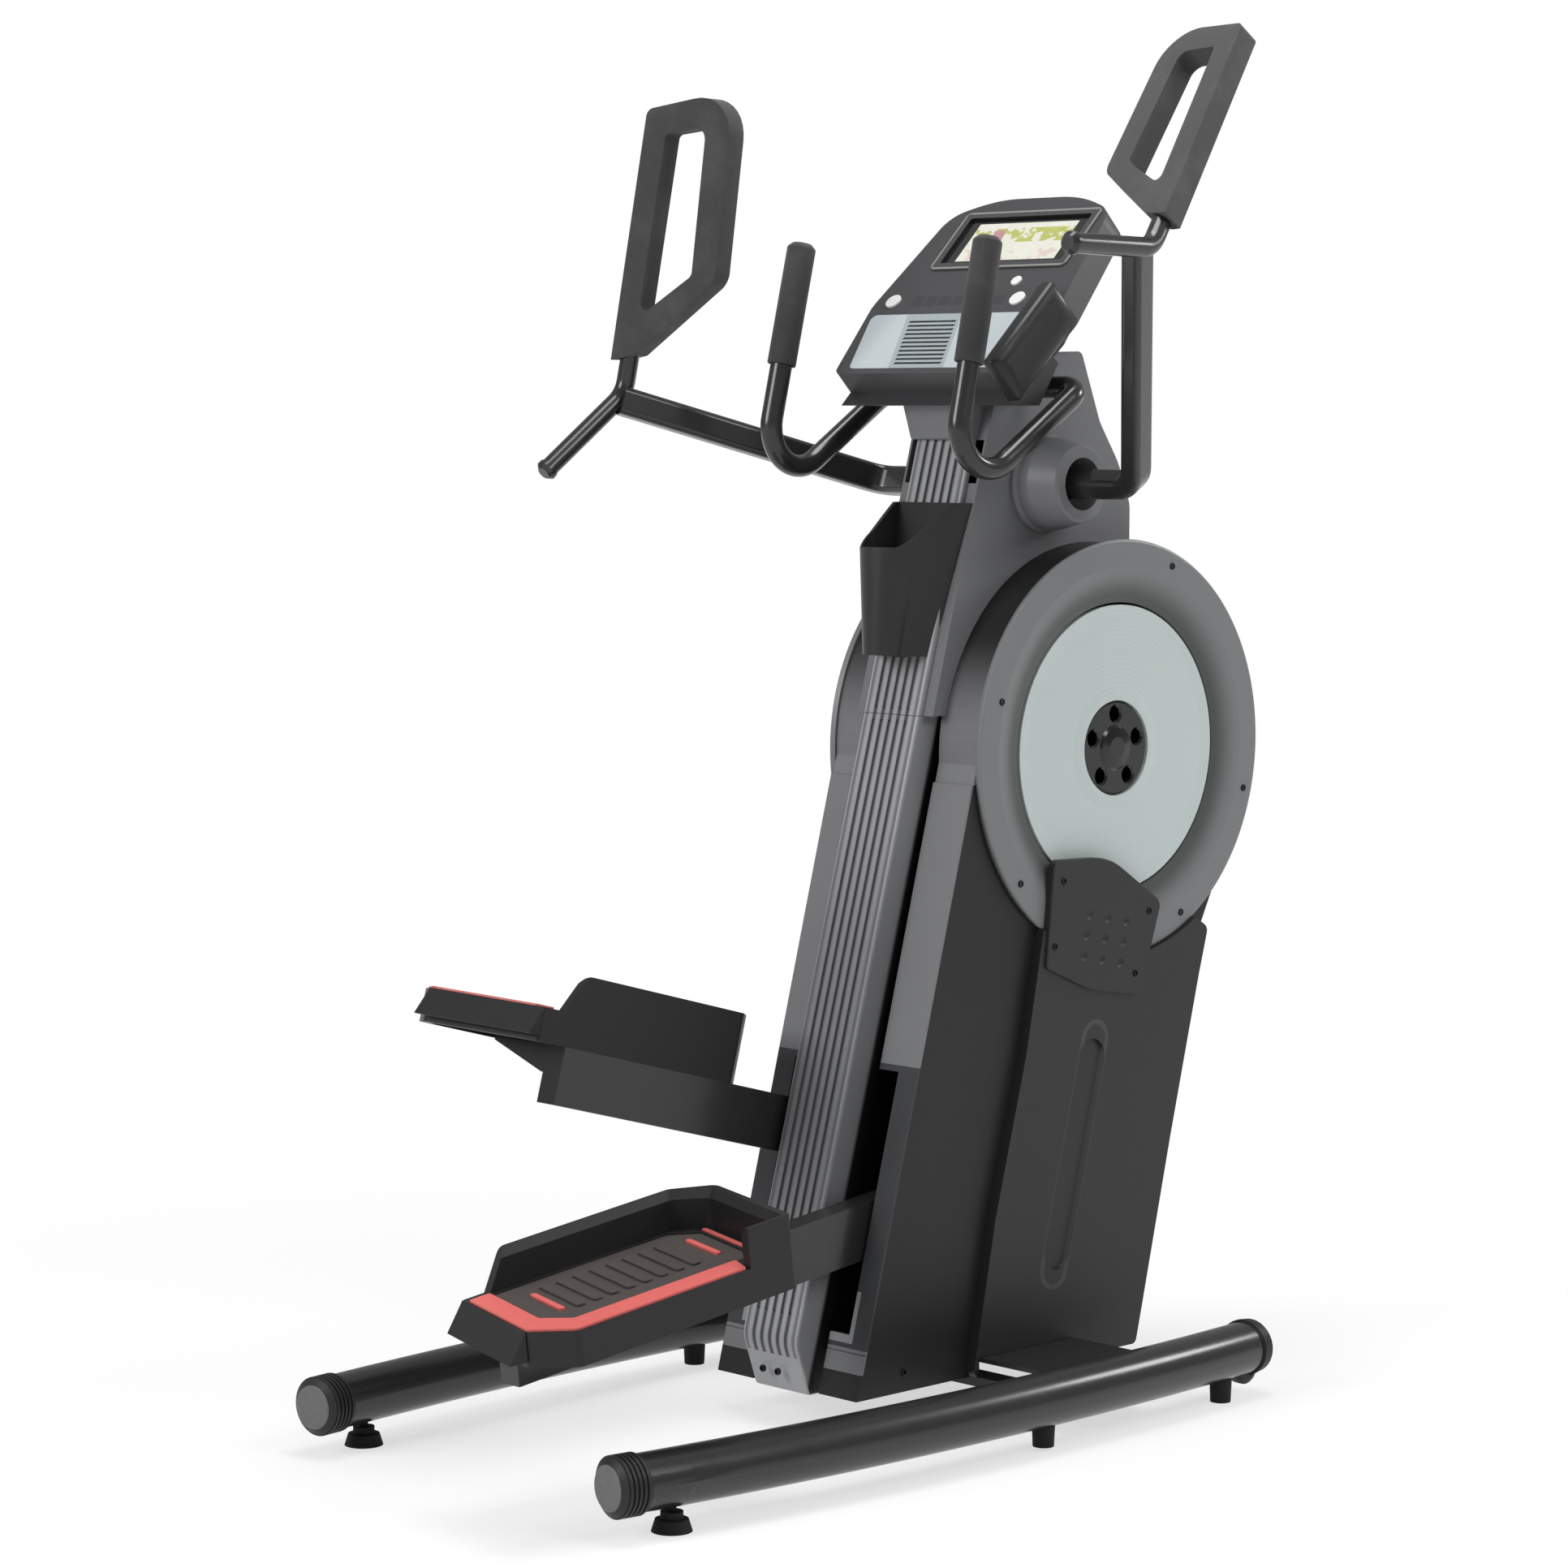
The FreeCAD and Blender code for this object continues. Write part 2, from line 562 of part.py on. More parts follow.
def cover_plate():
    """Small plate with nine dimples over the top of the leg cover, reaching in over the ring and the window."""
    outline = [(211, 634), (226, 789), (345, 786), (462, 712), (416, 577), (305, 594)]
    radii = [8, 14, 120, 16, 10, 150]
    plate = plate_yz(outline, radii, LEG_FACE, LEG_FACE + 5)
    edges = [e for e in plate.Edges if abs(e.CenterOfMass.x - LEG_FACE - 5) < 0.1]
    plate = plate.makeChamfer(1.5, edges)
    plate = plate.fuse(plate_yz(outline, radii, RING_FACE, LEG_FACE).common(drum_zone(0, 200, RING_R)))
    for row in range(3):
        for column in range(3):
            centre = V(LEG_FACE + 13, 290 + 40 * column + 6 * row, 645 + 30 * row - 8 * column)
            plate = plate.cut(Part.makeSphere(11, centre))
    return plate


def disc():
    """Pale disc: rim, shallow cone, flat middle and a collar round the hub."""
    profile = [(120, 70), (120, 77), (128, 80), (130, 92), (131, 200), (133, DISC_R), (140, DISC_R),
               (138, 190), (137, 92), (138.5, 78), (138.5, 70)]
    return turned_about_x(profile, WHEEL_AXIS_Y, WHEEL_AXIS_Z)


def axle():
    """Axle with a hub flange at each end: five holes round a domed centre cap."""
    rod = drum_zone(-110, 110, AXLE_R)
    profile = [(104, 0), (104, 30), (112, 34), (112, 77), (120, 77), (120, 69.5), (133, 69.5), (136, 66),
               (136, 34), (139, 30), (141, 16), (141, 0)]
    hub = turned_about_x(profile, WHEEL_AXIS_Y, WHEEL_AXIS_Z)
    for i in range(5):
        angle = 2 * math.pi * i / 5 + 0.3
        centre = V(100, WHEEL_AXIS_Y + 50 * math.cos(angle), WHEEL_AXIS_Z + 50 * math.sin(angle))
        hub = hub.cut(Part.makeCylinder(11, 40, centre, X))
        hub = hub.cut(Part.makeCone(11, 14, 3, centre + X * 33.1, X))
    return fuse([rod, hub, mirrored(hub)])


# ---- drive inside the tower --------------------------------------------------------------------------------
def drive_plate():
    """Steel side plate from the spine to the axle, with a lightening hole and the axle's bearing."""
    front = 9 + SPINE_DEPTH
    outline = [(mast_y(990) + front, 990), (mast_y(400) + front, 400), (330, 400), (440, 860), (440, 990)]
    plate = plate_yz(outline, [0, 0, 30, 60, 40], 34, 40)
    lightening = [(60, 480), (150, 800), (330, 830), (290, 560), (262, 480)]
    plate = plate.cut(plate_yz(lightening, 12, 30, 50))
    bearing = drum_zone(32, 46, 26)
    return fuse([plate, bearing]).cut(drum_zone(0, 90, AXLE_R + RUN))


def flywheel():
    """Heavy rim on a thin web with a bored boss, and the driven pulley on its flank."""
    profile = [(-16, AXLE_R), (-16, 34), (-5, 40), (-5, 150), (-14, 156), (-14, FLYWHEEL_R), (14, FLYWHEEL_R),
               (14, 156), (5, 150), (5, 40), (18, 36), (20, 36), (20, 32), (28, 32), (28, 36), (30, 36), (30, AXLE_R)]
    return turned_about_x(profile, WHEEL_AXIS_Y, WHEEL_AXIS_Z)


def drive_pulley():
    """Large pulley and short shaft on the clutch box."""
    profile = [(18, 0), (18, 86), (20, 86), (20, 82), (28, 82), (28, 86), (30, 86), (30, 0)]
    wheel = turned_about_x(profile, CARRIAGE_MID_Y, DRIVE_Z)
    shaft = cylinder(V(-30, CARRIAGE_MID_Y, DRIVE_Z), V(18, CARRIAGE_MID_Y, DRIVE_Z), 9)
    return fuse([wheel, shaft])


def belt():
    """Flat belt round the two pulleys: the outline of the wrap, minus the same outline one belt inside."""
    def wrap(r_top, r_low, x0, x1):
        top = V(x0, WHEEL_AXIS_Y, WHEEL_AXIS_Z)
        low = V(x0, CARRIAGE_MID_Y, DRIVE_Z)
        line = top - low
        distance = line.Length
        along = line.normalize()
        side = X.cross(along)
        lean = math.asin((r_low - r_top) / distance)
        left = side * math.cos(lean) + along * math.sin(lean)
        right = side * -math.cos(lean) + along * math.sin(lean)
        points = [low + left * r_low, top + left * r_top, top + right * r_top, low + right * r_low]
        edges = [Part.makeLine(points[0], points[1]),
                 Part.Arc(points[1], top + along * r_top, points[2]).toShape(),
                 Part.makeLine(points[2], points[3]),
                 Part.Arc(points[3], low - along * r_low, points[0]).toShape()]
        return Part.Face(Part.Wire(edges)).extrude(V(x1 - x0, 0, 0))
    return wrap(34.3, 84.3, 20.4, 27.6).cut(wrap(32.3, 82.3, 20, 28))


def clutch_box():
    """Closed right-angle box: pinion shaft in from below, pulley shaft out to the side, foot on the spine."""
    casing = box(-16, 14, CARRIAGE_MID_Y - 42, CARRIAGE_MID_Y + 42, 392, 512)
    foot = box(-34, 14, mast_y(404) + 9 + SPINE_DEPTH, CARRIAGE_MID_Y - 42, 392, 404)
    block = fuse([casing, foot])
    block = block.cut(cylinder(V(-60, CARRIAGE_MID_Y, DRIVE_Z), V(60, CARRIAGE_MID_Y, DRIVE_Z), 9 + RUN))
    return block.cut(Part.makeCylinder(PINION_SHAFT_R + RUN, 60, V(0, CARRIAGE_MID_Y, 380), Z))


def gear_tooth_points(count, module, half):
    root = module * count / 2 - 1.25 * module
    tip = module * count / 2 + 0.94 * module
    pitch = module * count / 2
    points = []
    for i in range(count):
        centre = 2 * math.pi * i / count
        for radius, width in ((root, half + 1.45), (pitch, half), (tip, half - 1.25)):
            points.append((radius, centre - width / radius))
        for radius, width in ((tip, half - 1.25), (pitch, half), (root, half + 1.45)):
            points.append((radius, centre + width / radius))
    return points


def pinion():
    """Upright pinion between the two racks, with its shaft."""
    half = math.pi * GEAR_MODULE / 4 - BACKLASH / 2
    points = [V(r * math.cos(a), CARRIAGE_MID_Y + r * math.sin(a), CARRIAGE_Z - 9)
              for r, a in gear_tooth_points(GEAR_TEETH, GEAR_MODULE, half)]
    points.append(points[0])
    gear = Part.Face(Part.makePolygon(points)).extrude(V(0, 0, 18))
    turn = -CARRIAGE_REST / (GEAR_MODULE * GEAR_TEETH / 2)
    gear = turned(gear, V(0, CARRIAGE_MID_Y, 0), Z, turn)
    foot_z = BASE_TOP + 18
    shaft = Part.makeCylinder(PINION_SHAFT_R, 430 - foot_z, V(0, CARRIAGE_MID_Y, foot_z), Z)
    return fuse([gear, shaft])


def rack():
    """Toothed bar beside the pinion, at the middle of its stroke."""
    pitch_x = GEAR_MODULE * GEAR_TEETH / 2
    root_x = pitch_x + 1.25 * GEAR_MODULE
    tip_x = pitch_x - 0.94 * GEAR_MODULE
    step = math.pi * GEAR_MODULE
    half = step / 4 - BACKLASH / 2
    reach = CARRIAGE_STROKE + 16
    count = int(reach / step)
    outline = [(RACK_OUT, CARRIAGE_MID_Y - reach), (root_x, CARRIAGE_MID_Y - reach)]
    for i in range(-count, count):
        y = CARRIAGE_MID_Y + (i + 0.5) * step
        outline += [(root_x, y - half - 1.8), (tip_x, y - half + 1.3), (tip_x, y + half - 1.3),
                    (root_x, y + half + 1.8)]
    outline += [(root_x, CARRIAGE_MID_Y + reach), (RACK_OUT, CARRIAGE_MID_Y + reach)]
    return plate_xy(outline, 0, CARRIAGE_Z - 8, CARRIAGE_Z + 8)


def guide_rail():
    """Rail for the carriage shoe, on two posts."""
    bar = box(112, 128, 20, 390, CARRIAGE_Z - 12, CARRIAGE_Z + 12)
    posts = [box(108, 132, y, y + 28, BASE_TOP, CARRIAGE_Z - 12) for y in (20, 362)]
    return fuse([bar] + posts)


def carriage():
    """Shoe round the rail, rack against the pinion, and between them the pin that the lever turns on."""
    y = CARRIAGE_MID_Y
    shoe = box(LEVER_OUT + 3, 124, y - 34, y + 34, CARRIAGE_Z - 26, CARRIAGE_Z + 26)
    shoe = shoe.cut(box(111.6, 140, y - 60, y + 60, CARRIAGE_Z - 12.4, CARRIAGE_Z + 12.4))
    pin = cylinder(V(RACK_OUT - 3, y, CARRIAGE_Z), V(LEVER_OUT + 3, y, CARRIAGE_Z), PIN_R)
    return fuse([shoe, pin, rack()])


# ---- pedals, in the lever's own frame: pin at the origin, lever reaching back along -Y ------------------------
TRAY_IN = 64.0
TRAY_OUT = 304.0
TRAY_TOP = 83.0
TRAY_FLOOR = 74.0
TRAY_CEILING = 66.0                # underside of the bed
WALL_TOP = 137.0
TRAY_REAR = [(64, -903), (248, -954)]          # rear edge of the foot bed, seen from above
TRAY_FRONT = [(108, -483), (293, -531)]        # front edge of the toe wall
FLARE = 26.0
FLARE_LOW = 44.0


def lever():
    """Box-section lever, closed at its tail, with a bush for the carriage pin."""
    bar = box(LEVER_IN, LEVER_OUT, -LEVER_LENGTH, 34, LEVER_LOW, LEVER_TOP)
    inner = box(LEVER_IN + 3, LEVER_OUT - 3, 4 - LEVER_LENGTH, 40, LEVER_LOW + 3, LEVER_TOP - 3)
    tube_body = bar.cut(inner)
    boss = cylinder(V(LEVER_IN, 0, 0), V(LEVER_OUT, 0, 0), 20)
    hole = cylinder(V(LEVER_IN - 5, 0, 0), V(LEVER_OUT + 5, 0, 0), PIN_R + RUN)
    return fuse([tube_body, boss]).cut(hole)


def pedal():
    """Moulded foot bed: flared rear skirt, hollow underside, and a wall up the inner side and round the toe."""
    plan = TRAY_REAR + [(TRAY_OUT, -915), (TRAY_OUT, -534)] + TRAY_FRONT[::-1] + [(TRAY_IN, -532)]
    corner_radii = [5, 14, 16, 6, 4, 16, 12]
    tray = plate_xy(plan, corner_radii, LEVER_TOP, TRAY_TOP)
    profile = plate_yz([(-866, TRAY_TOP), (-834, WALL_TOP), (-470, WALL_TOP), (-470, TRAY_TOP)],
                       [0, 16, 0, 0], 50, 320)
    wall = plate_xy(plan, corner_radii, TRAY_TOP, WALL_TOP).common(profile)
    foot_room = [(76, -990), (330, -990), (330, -612), (291, -612), (291, -550), (116, -504), (76, -538)]
    wall = wall.cut(plate_xy(foot_room, [0, 0, 0, 0, 16, 16, 12], TRAY_TOP, 200))
    bevel = [(68, -990), (330, -990), (330, -612), (298, -612), (298, -543), (112, -494), (68, -534)]
    wall = wall.cut(bevelled_prism(bevel, foot_room, WALL_TOP - 12, WALL_TOP))
    inner_end = V(*TRAY_REAR[0], 0)
    outer_end = V(*TRAY_REAR[1], 0)
    outward = (outer_end - inner_end).cross(Z).normalize()
    section = [inner_end + Z * TRAY_TOP, inner_end + outward * FLARE + Z * FLARE_LOW, inner_end + Z * FLARE_LOW]
    flare = Part.Face(rounded_wire(section, 0)).extrude(outer_end - inner_end)
    whole = fuse([tray, wall, flare])
    whole = whole.cut(plate_xy(TREAD_PLAN, 9, TRAY_FLOOR, TRAY_TOP + 1))
    underside = [(106, -893), (246, -934), (297, -900), (297, -546), (106, -496)]
    return whole.cut(plate_xy(underside, [6, 20, 20, 6, 20], 0, TRAY_CEILING))


def bevelled_prism(top, bottom, z0, z1):
    """Loft between two outlines with the same number of corners, the lower one at z0 and the upper at z1."""
    wires = [Part.makePolygon([V(x, y, z) for x, y in outline + outline[:1]])
             for outline, z in ((bottom, z0), (top, z1))]
    return Part.makeLoft(wires, True, True)


TREAD_PLAN = [(81, -867), (222, -906), (260, -883), (260, -566), (118, -527), (81, -556)]


def tread_slot(s, grow):
    """Long slot across the tread for a coloured inlay, parallel to the front edge."""
    slope = (TRAY_FRONT[1][1] - TRAY_FRONT[0][1]) / (TRAY_FRONT[1][0] - TRAY_FRONT[0][0])
    ends = [(128, s), (214, s + 86 * slope)]
    half = 4.5 + grow
    outline = [(ends[0][0] - grow, ends[0][1] - half), (ends[1][0] + grow, ends[1][1] - half),
               (ends[1][0] + grow, ends[1][1] + half), (ends[0][0] - grow, ends[0][1] + half)]
    return plate_xy(outline, half - 0.5, TRAY_FLOOR, TRAY_TOP + 1)


SLOTS = (-838.0, -562.0)


def pedal_rim():
    """Coloured band round the outer and rear edges of the foot bed, a thin one at the toe, and two inlays."""
    band = plate_xy([(80, -904), (247, -950), (301, -913), (301, -618), (263, -601), (263, -884.5), (222.5, -909),
                     (80, -869.5)], [3, 12, 14, 3, 3, 8, 8, 3], TRAY_TOP, TRAY_TOP + 3)
    toe = plate_xy([(112, -513), (236, -546), (236, -553), (112, -520)], 2, TRAY_TOP, TRAY_TOP + 2)
    return group([band, toe] + [tread_slot(s, 0) for s in SLOTS])


def pedal_tread():
    """Rubber tread with cross ribs between two slots."""
    base = plate_xy(TREAD_PLAN, 9, TRAY_FLOOR, TRAY_FLOOR + 7)
    for s in SLOTS:
        base = base.cut(tread_slot(s, 0.3))
    ribs = []
    for i in range(8):
        s = -806 + 29 * i
        ribs.append(plate_xy([(112, s - 7), (222, s - 36), (222, s - 22), (112, s + 7)], 4, TRAY_FLOOR + 6,
                             TRAY_FLOOR + 10))
    return fuse([base] + ribs)


def pedal_strut():
    """Triangular plate from the tail of the lever out under the foot bed."""
    rear = 4 - LEVER_LENGTH
    outline = [V(LEVER_OUT, rear, -2), V(LEVER_OUT, rear, LEVER_TOP), V(216, rear, LEVER_TOP),
               V(216, rear, LEVER_TOP - 5), V(LEVER_OUT + 8, rear, -2)]
    return Part.Face(rounded_wire(outline, 0)).extrude(V(0, 8, 0))


def on_lever(shape, sign):
    """Puts a piece built in the lever's frame where the lever stands."""
    placed = turned(on_side(shape, sign), V(0, 0, 0), X, LEVER_REST[sign])
    return moved(placed, 0, CARRIAGE_MID_Y - sign * CARRIAGE_REST, CARRIAGE_Z)


# ---- upper-body arms, built as the right one stands ------------------------------------------------------------
ARM_CORNER = V(ARM_CORNER_X, PIVOT_Y, PIVOT_Z)
ARM_TOP = V(436, 81, 1657)
BAR_END = V(458, -73, 1654)
BAR_BEND = V(443, 100, 1653)
LOOP_FOOT = V(432, 145, 1703)                  # plane of the hand loop: its origin, normal, and long side
LOOP_NORMAL = V(-0.155, -0.761, 0.629).normalize()
LOOP_UP = V(-0.184, 0.648, 0.739)
LOOP_OUTER = [(-47, -20), (350, -21), (401, 133), (124, 150)]      # foot, outer top, inner top, inner side
LOOP_INNER = [(50, 20), (320, 20), (341, 92), (126, 106)]
LOOP_FOOT_CUT = [(-22, -20), (-7, 19)]         # square end of the foam, where the steel bar goes in
LOOP_THICK = 34.0
LOOP_ROUND = 10.0
BAR_R = 14.0
ARM_SHAFT_R = 19.0


def arm():
    """Shaft, rectangular arm tube with one bend, and the round bar across its top, welded together."""
    along = (ARM_TOP - ARM_CORNER).normalize()
    start = V(112, PIVOT_Y, PIVOT_Z)
    path = bent_path([start, ARM_CORNER, ARM_TOP - along * 4], 42)
    across = X.cross(along).normalize() * 21
    up = across.cross(X).normalize() * 16
    corners = [start + across + up, start + across - up, start - across - up, start - across + up]
    body = path.makePipeShell([rounded_wire(corners, 9)], True, False)
    flange = cylinder(V(106, PIVOT_Y, PIVOT_Z), V(113, PIVOT_Y, PIVOT_Z), 30)
    shaft = cylinder(V(44, PIVOT_Y, PIVOT_Z), V(108, PIVOT_Y, PIVOT_Z), ARM_SHAFT_R)
    bar = round_bar([BAR_END, BAR_BEND, loop_bottom()], 45, BAR_R)
    back = (BAR_END - BAR_BEND).normalize()
    cap = Part.makeCone(BAR_R + 2, BAR_R - 4, 6, BAR_END + back * 6, back)
    collar = cylinder(BAR_END, BAR_END + back * 6, BAR_R + 2)
    return fuse([body, flange, shaft, bar, collar, cap])


def in_loop_plane(shape):
    """Carries a piece drawn in XY into the plane of the hand loop, with X along its long side."""
    normal = LOOP_NORMAL
    across = normal.cross(LOOP_UP).normalize()
    up = across.cross(normal)
    frame = FreeCAD.Matrix(up.x, across.x, normal.x, LOOP_FOOT.x, up.y, across.y, normal.y, LOOP_FOOT.y,
                           up.z, across.z, normal.z, LOOP_FOOT.z, 0, 0, 0, 1)
    shape.Placement = FreeCAD.Placement(frame)
    return shape


def loop_bottom():
    """End of the steel bar, inside the foam foot of the loop."""
    return in_loop_plane(Part.Vertex(V(8, 2, 0))).Point


def loop_grip():
    """Closed foam loop with flat faces: slanted foot, long outer side, top and long inner side."""
    half = LOOP_THICK / 2
    outer = plate_xy(LOOP_OUTER, [11, 14, 56, 32], -half, half)
    edges = [e for e in outer.Edges if abs(abs(e.CenterOfMass.z) - half) < 0.1]
    outer = outer.makeFillet(LOOP_ROUND, edges)
    opening = plate_xy(LOOP_INNER, [10, 9, 16, 12], -half, half)
    loop = outer.cut(opening)
    edges = [e for e in loop.Edges if abs(abs(e.CenterOfMass.z) - half) < 0.1
             and opening.BoundBox.isInside(e.CenterOfMass)]
    loop = loop.makeFillet(LOOP_ROUND, edges)
    (u0, v0), (u1, v1) = LOOP_FOOT_CUT
    reach = (u1 - u0) * 2, (v1 - v0) * 2
    tip = [(u0 - reach[0], v0 - reach[1]), (u1 + reach[0], v1 + reach[1]), (u1 - 90, v1 + 60), (u0 - 90, v0 - 60)]
    loop = in_loop_plane(loop.cut(plate_xy(tip, 0, -half - 1, half + 1)))
    return loop.cut(round_bar([BAR_END, BAR_BEND, loop_bottom()], 45, BAR_R)).Solids[0]


def arm_boss():
    """Fixed cone round the arm's pivot: a deep round opening with the shaft's bush at the bottom of it."""
    bore = ARM_SHAFT_R + RUN
    profile = [(SHROUD_HALF - SHELL, bore), (SHROUD_HALF - SHELL, 31), (SHROUD_HALF, 31), (SHROUD_HALF, 72),
               (SHROUD_HALF + 6, 72), (SHROUD_HALF + 10, 67), (104, 67), (148, 56), (BOSS_OUT, 52), (BOSS_OUT, 38),
               (104, 38), (104, bore)]
    return turned_about_x(profile, PIVOT_Y, PIVOT_Z)


def on_arm(shape, sign):
    if sign > 0:
        return shape
    return turned(mirrored(shape), V(0, PIVOT_Y, PIVOT_Z), X, ARM_SPREAD)


# ---- fixed grab bars, console and cup holder --------------------------------------------------------------------
GRIP_TOP = V(185, 52, 1663)
GRAB_CORNER = V(189, -35, 1283)
GRAB_R = 16.0
GRIP_LENGTH = 168.0


def grab_bar():
    """Bar from the head casing, forward of the user, down round a bend and up through the grip."""
    points = [V(SHROUD_HALF + 0.05, 246, 1468), V(191, 246, 1468), GRAB_CORNER, GRIP_TOP]
    return round_bar(points, [34, 58], GRAB_R)


def bar_grip():
    """Foam sleeve on the upright end of a grab bar, closed at the top."""
    direction = (GRIP_TOP - GRAB_CORNER).normalize()
    foot = GRIP_TOP - direction * GRIP_LENGTH
    sleeve = tube(foot, GRIP_TOP, 21, GRAB_R + RUN)
    end = fuse([cylinder(GRIP_TOP, GRIP_TOP + direction * 5, 21),
                Part.makeCone(21, 14, 7, GRIP_TOP + direction * 5, direction)])
    return fuse([sleeve, end])


def console_frame(shape):
    """Turns a piece drawn in the plane of the console face, X across and Y up the slope, into place."""
    tilted = turned(shape, V(0, 0, 0), X, CONSOLE_SLOPE)
    return moved(tilted, 0, CONSOLE_Y, CONSOLE_Z)


CONSOLE_OUTLINE = [(-168, -4), (-188, 137), (-158, 330), (-80, 362), (80, 362), (158, 330), (188, 137), (168, -4)]
LIP_HALF = 163.0
CONSOLE_RADII = [14, 70, 50, 200, 200, 50, 70, 14]
KEYS = [(-150, 146, 13.0), (98, 146, 13.0), (72, 183, 9.0)]
SCREEN = (-108, 132, 224, 320)                 # left, right, low and high edges of the glass


def console_body():
    """Sloping housing with a deep lower lip, a flat-backed pod and a raised frame round the screen."""
    slab = plate_xy(CONSOLE_OUTLINE, CONSOLE_RADII, -46, 0)
    pod = plate_xy([(-132, 14), (-150, 130), (-118, 300), (118, 300), (150, 130), (132, 14)], 24,
                   -CONSOLE_DEPTH, -46)
    left, right, low, high = SCREEN
    bezel = plate_xy([(left - 14, low - 12), (left - 14, high + 12), (right + 14, high + 12), (right + 14, low - 12)],
                     10, 0, 3)
    glass = plate_xy([(left, low), (left, high), (right, high), (right, low)], 4, -5, 10)
    face = fuse([slab, pod, bezel]).cut(glass).cut(lower_panel_solid(-6, 5, 0))
    for x, s, radius in KEYS:
        face = face.cut(Part.makeCylinder(radius + 0.5, 20, V(x, s, -8), Z))
    lip = plate_yz([(CONSOLE_Y - 3, CONSOLE_Z - 3), (CONSOLE_Y - 7, CONSOLE_Z - 26), (CONSOLE_Y - 2, NECK_Z),
                    (186, NECK_Z), (225, 1501), (180, 1540)], [4, 6, 6, 0, 0, 0], -LIP_HALF, LIP_HALF)
    return fuse([console_frame(face), lip.cut(console_frame(box(-200, 200, -60, 400, -40, 300)))])


def lower_panel_solid(z0, z1, inset):
    i = inset
    return plate_xy([(-144 + i, 6 + i), (-174 + i, 118 - i), (174 - i, 118 - i), (144 - i, 6 + i)], 10, z0, z1)


def lower_panel():
    """Light panel under the keys, with the slanted speaker grille in its middle."""
    panel = lower_panel_solid(-6, 1, 0.2)
    for row in range(11):
        s = 16 + 8.6 * row
        middle = -7 - 0.33 * s
        panel = panel.cut(plate_xy([(middle - 47, s - 2), (middle + 47, s - 2), (middle + 48.5, s + 2),
                                    (middle - 45.5, s + 2)], 0, -2, 3))
    return console_frame(panel)


def screen():
    left, right, low, high = SCREEN
    return console_frame(plate_xy([(left + 0.2, low + 0.2), (left + 0.2, high - 0.2), (right - 0.2, high - 0.2),
                                   (right - 0.2, low + 0.2)], 4, -5, -2))


def console_key(x, s, radius):
    cap = Part.makeCylinder(radius, 8.5, V(x, s, -5.5), Z)
    edge = [e for e in cap.Edges if e.CenterOfMass.z > 2.9]
    return console_frame(cap.makeFillet(1.2, edge))


def cup_holder():
    """Tapered cup with a slanted rim, a flat back wall, and a saddle that hugs the head casing."""
    high_z = 1302.0
    low_z = 1084.0
    foot = V(0, mast_y(low_z) - 37, low_z)
    axis = V(0, mast_y(high_z) - 74 - foot.y, high_z - low_z)
    outer = Part.makeCone(31, 54, axis.Length, foot, axis)
    rim = foot + axis
    wings = bevelled_prism([(-54, rim.y), (-79, mast_y(high_z) + 40), (79, mast_y(high_z) + 40), (54, rim.y)],
                           [(-31, foot.y), (-52, mast_y(low_z) + 4), (52, mast_y(low_z) + 4), (31, foot.y)],
                           low_z, high_z)
    side = [(foot.y - 90, low_z), (mast_y(low_z) + 5, low_z), (mast_y(1143) + 8, 1143), (mast_y(1205) + 8, 1205),
            (mast_y(1247) + 39, 1247), (mast_y(high_z) + 39, high_z), (foot.y - 90, high_z)]
    wings = wings.common(plate_yz(side, [0, 0, 0, 20, 12, 0, 0], -90, 90))
    cup = fuse([outer, wings])
    hollow = Part.makeCone(28, 51, axis.Length, foot + V(0, 0, 4), axis)
    pocket = bevelled_prism([(-50, rim.y), (-65, mast_y(high_z) + 9), (65, mast_y(high_z) + 9), (50, rim.y)],
                            [(-32, foot.y + 20), (-40, mast_y(1150) + 9), (40, mast_y(1150) + 9),
                             (32, foot.y + 20)], 1150, high_z + 1)
    hollow = hollow.fuse(pocket)
    hollow = hollow.common(plate_yz([(-200, 1000), (mast_y(1000) - 4, 1000), (mast_y(1400) - 4, 1400),
                                     (-200, 1400)], 0, -90, 90))
    slant = plate_yz([(foot.y - 80, 1240), (foot.y - 10, 1240), (mast_y(1300) - 8, 1304), (mast_y(1300), 1420),
                      (foot.y - 80, 1420)], 0, -90, 90)
    behind = plate_yz(mast_outline(1050, 1330, 0, 60), 0, -MAST_HALF, MAST_HALF)
    casing = plate_yz(mast_outline(1050, 1330, 9, 90), 0, -SHROUD_HALF, SHROUD_HALF)
    whole = cup.cut(hollow).cut(slant).cut(behind).cut(casing)
    return max(whole.Solids, key=lambda piece: piece.Volume)


# ---- export -------------------------------------------------------------------------------------------------------
def save(name, shape):
    placed = moved(shape, 0, SHIFT_Y, 0)
    if len(placed.Solids) == 1:
        placed = placed.Solids[0]
    assert placed.isValid(), name
    assert placed.Volume > 0, name
    placed.exportStep(os.path.join(PARTS, name + ".step"))


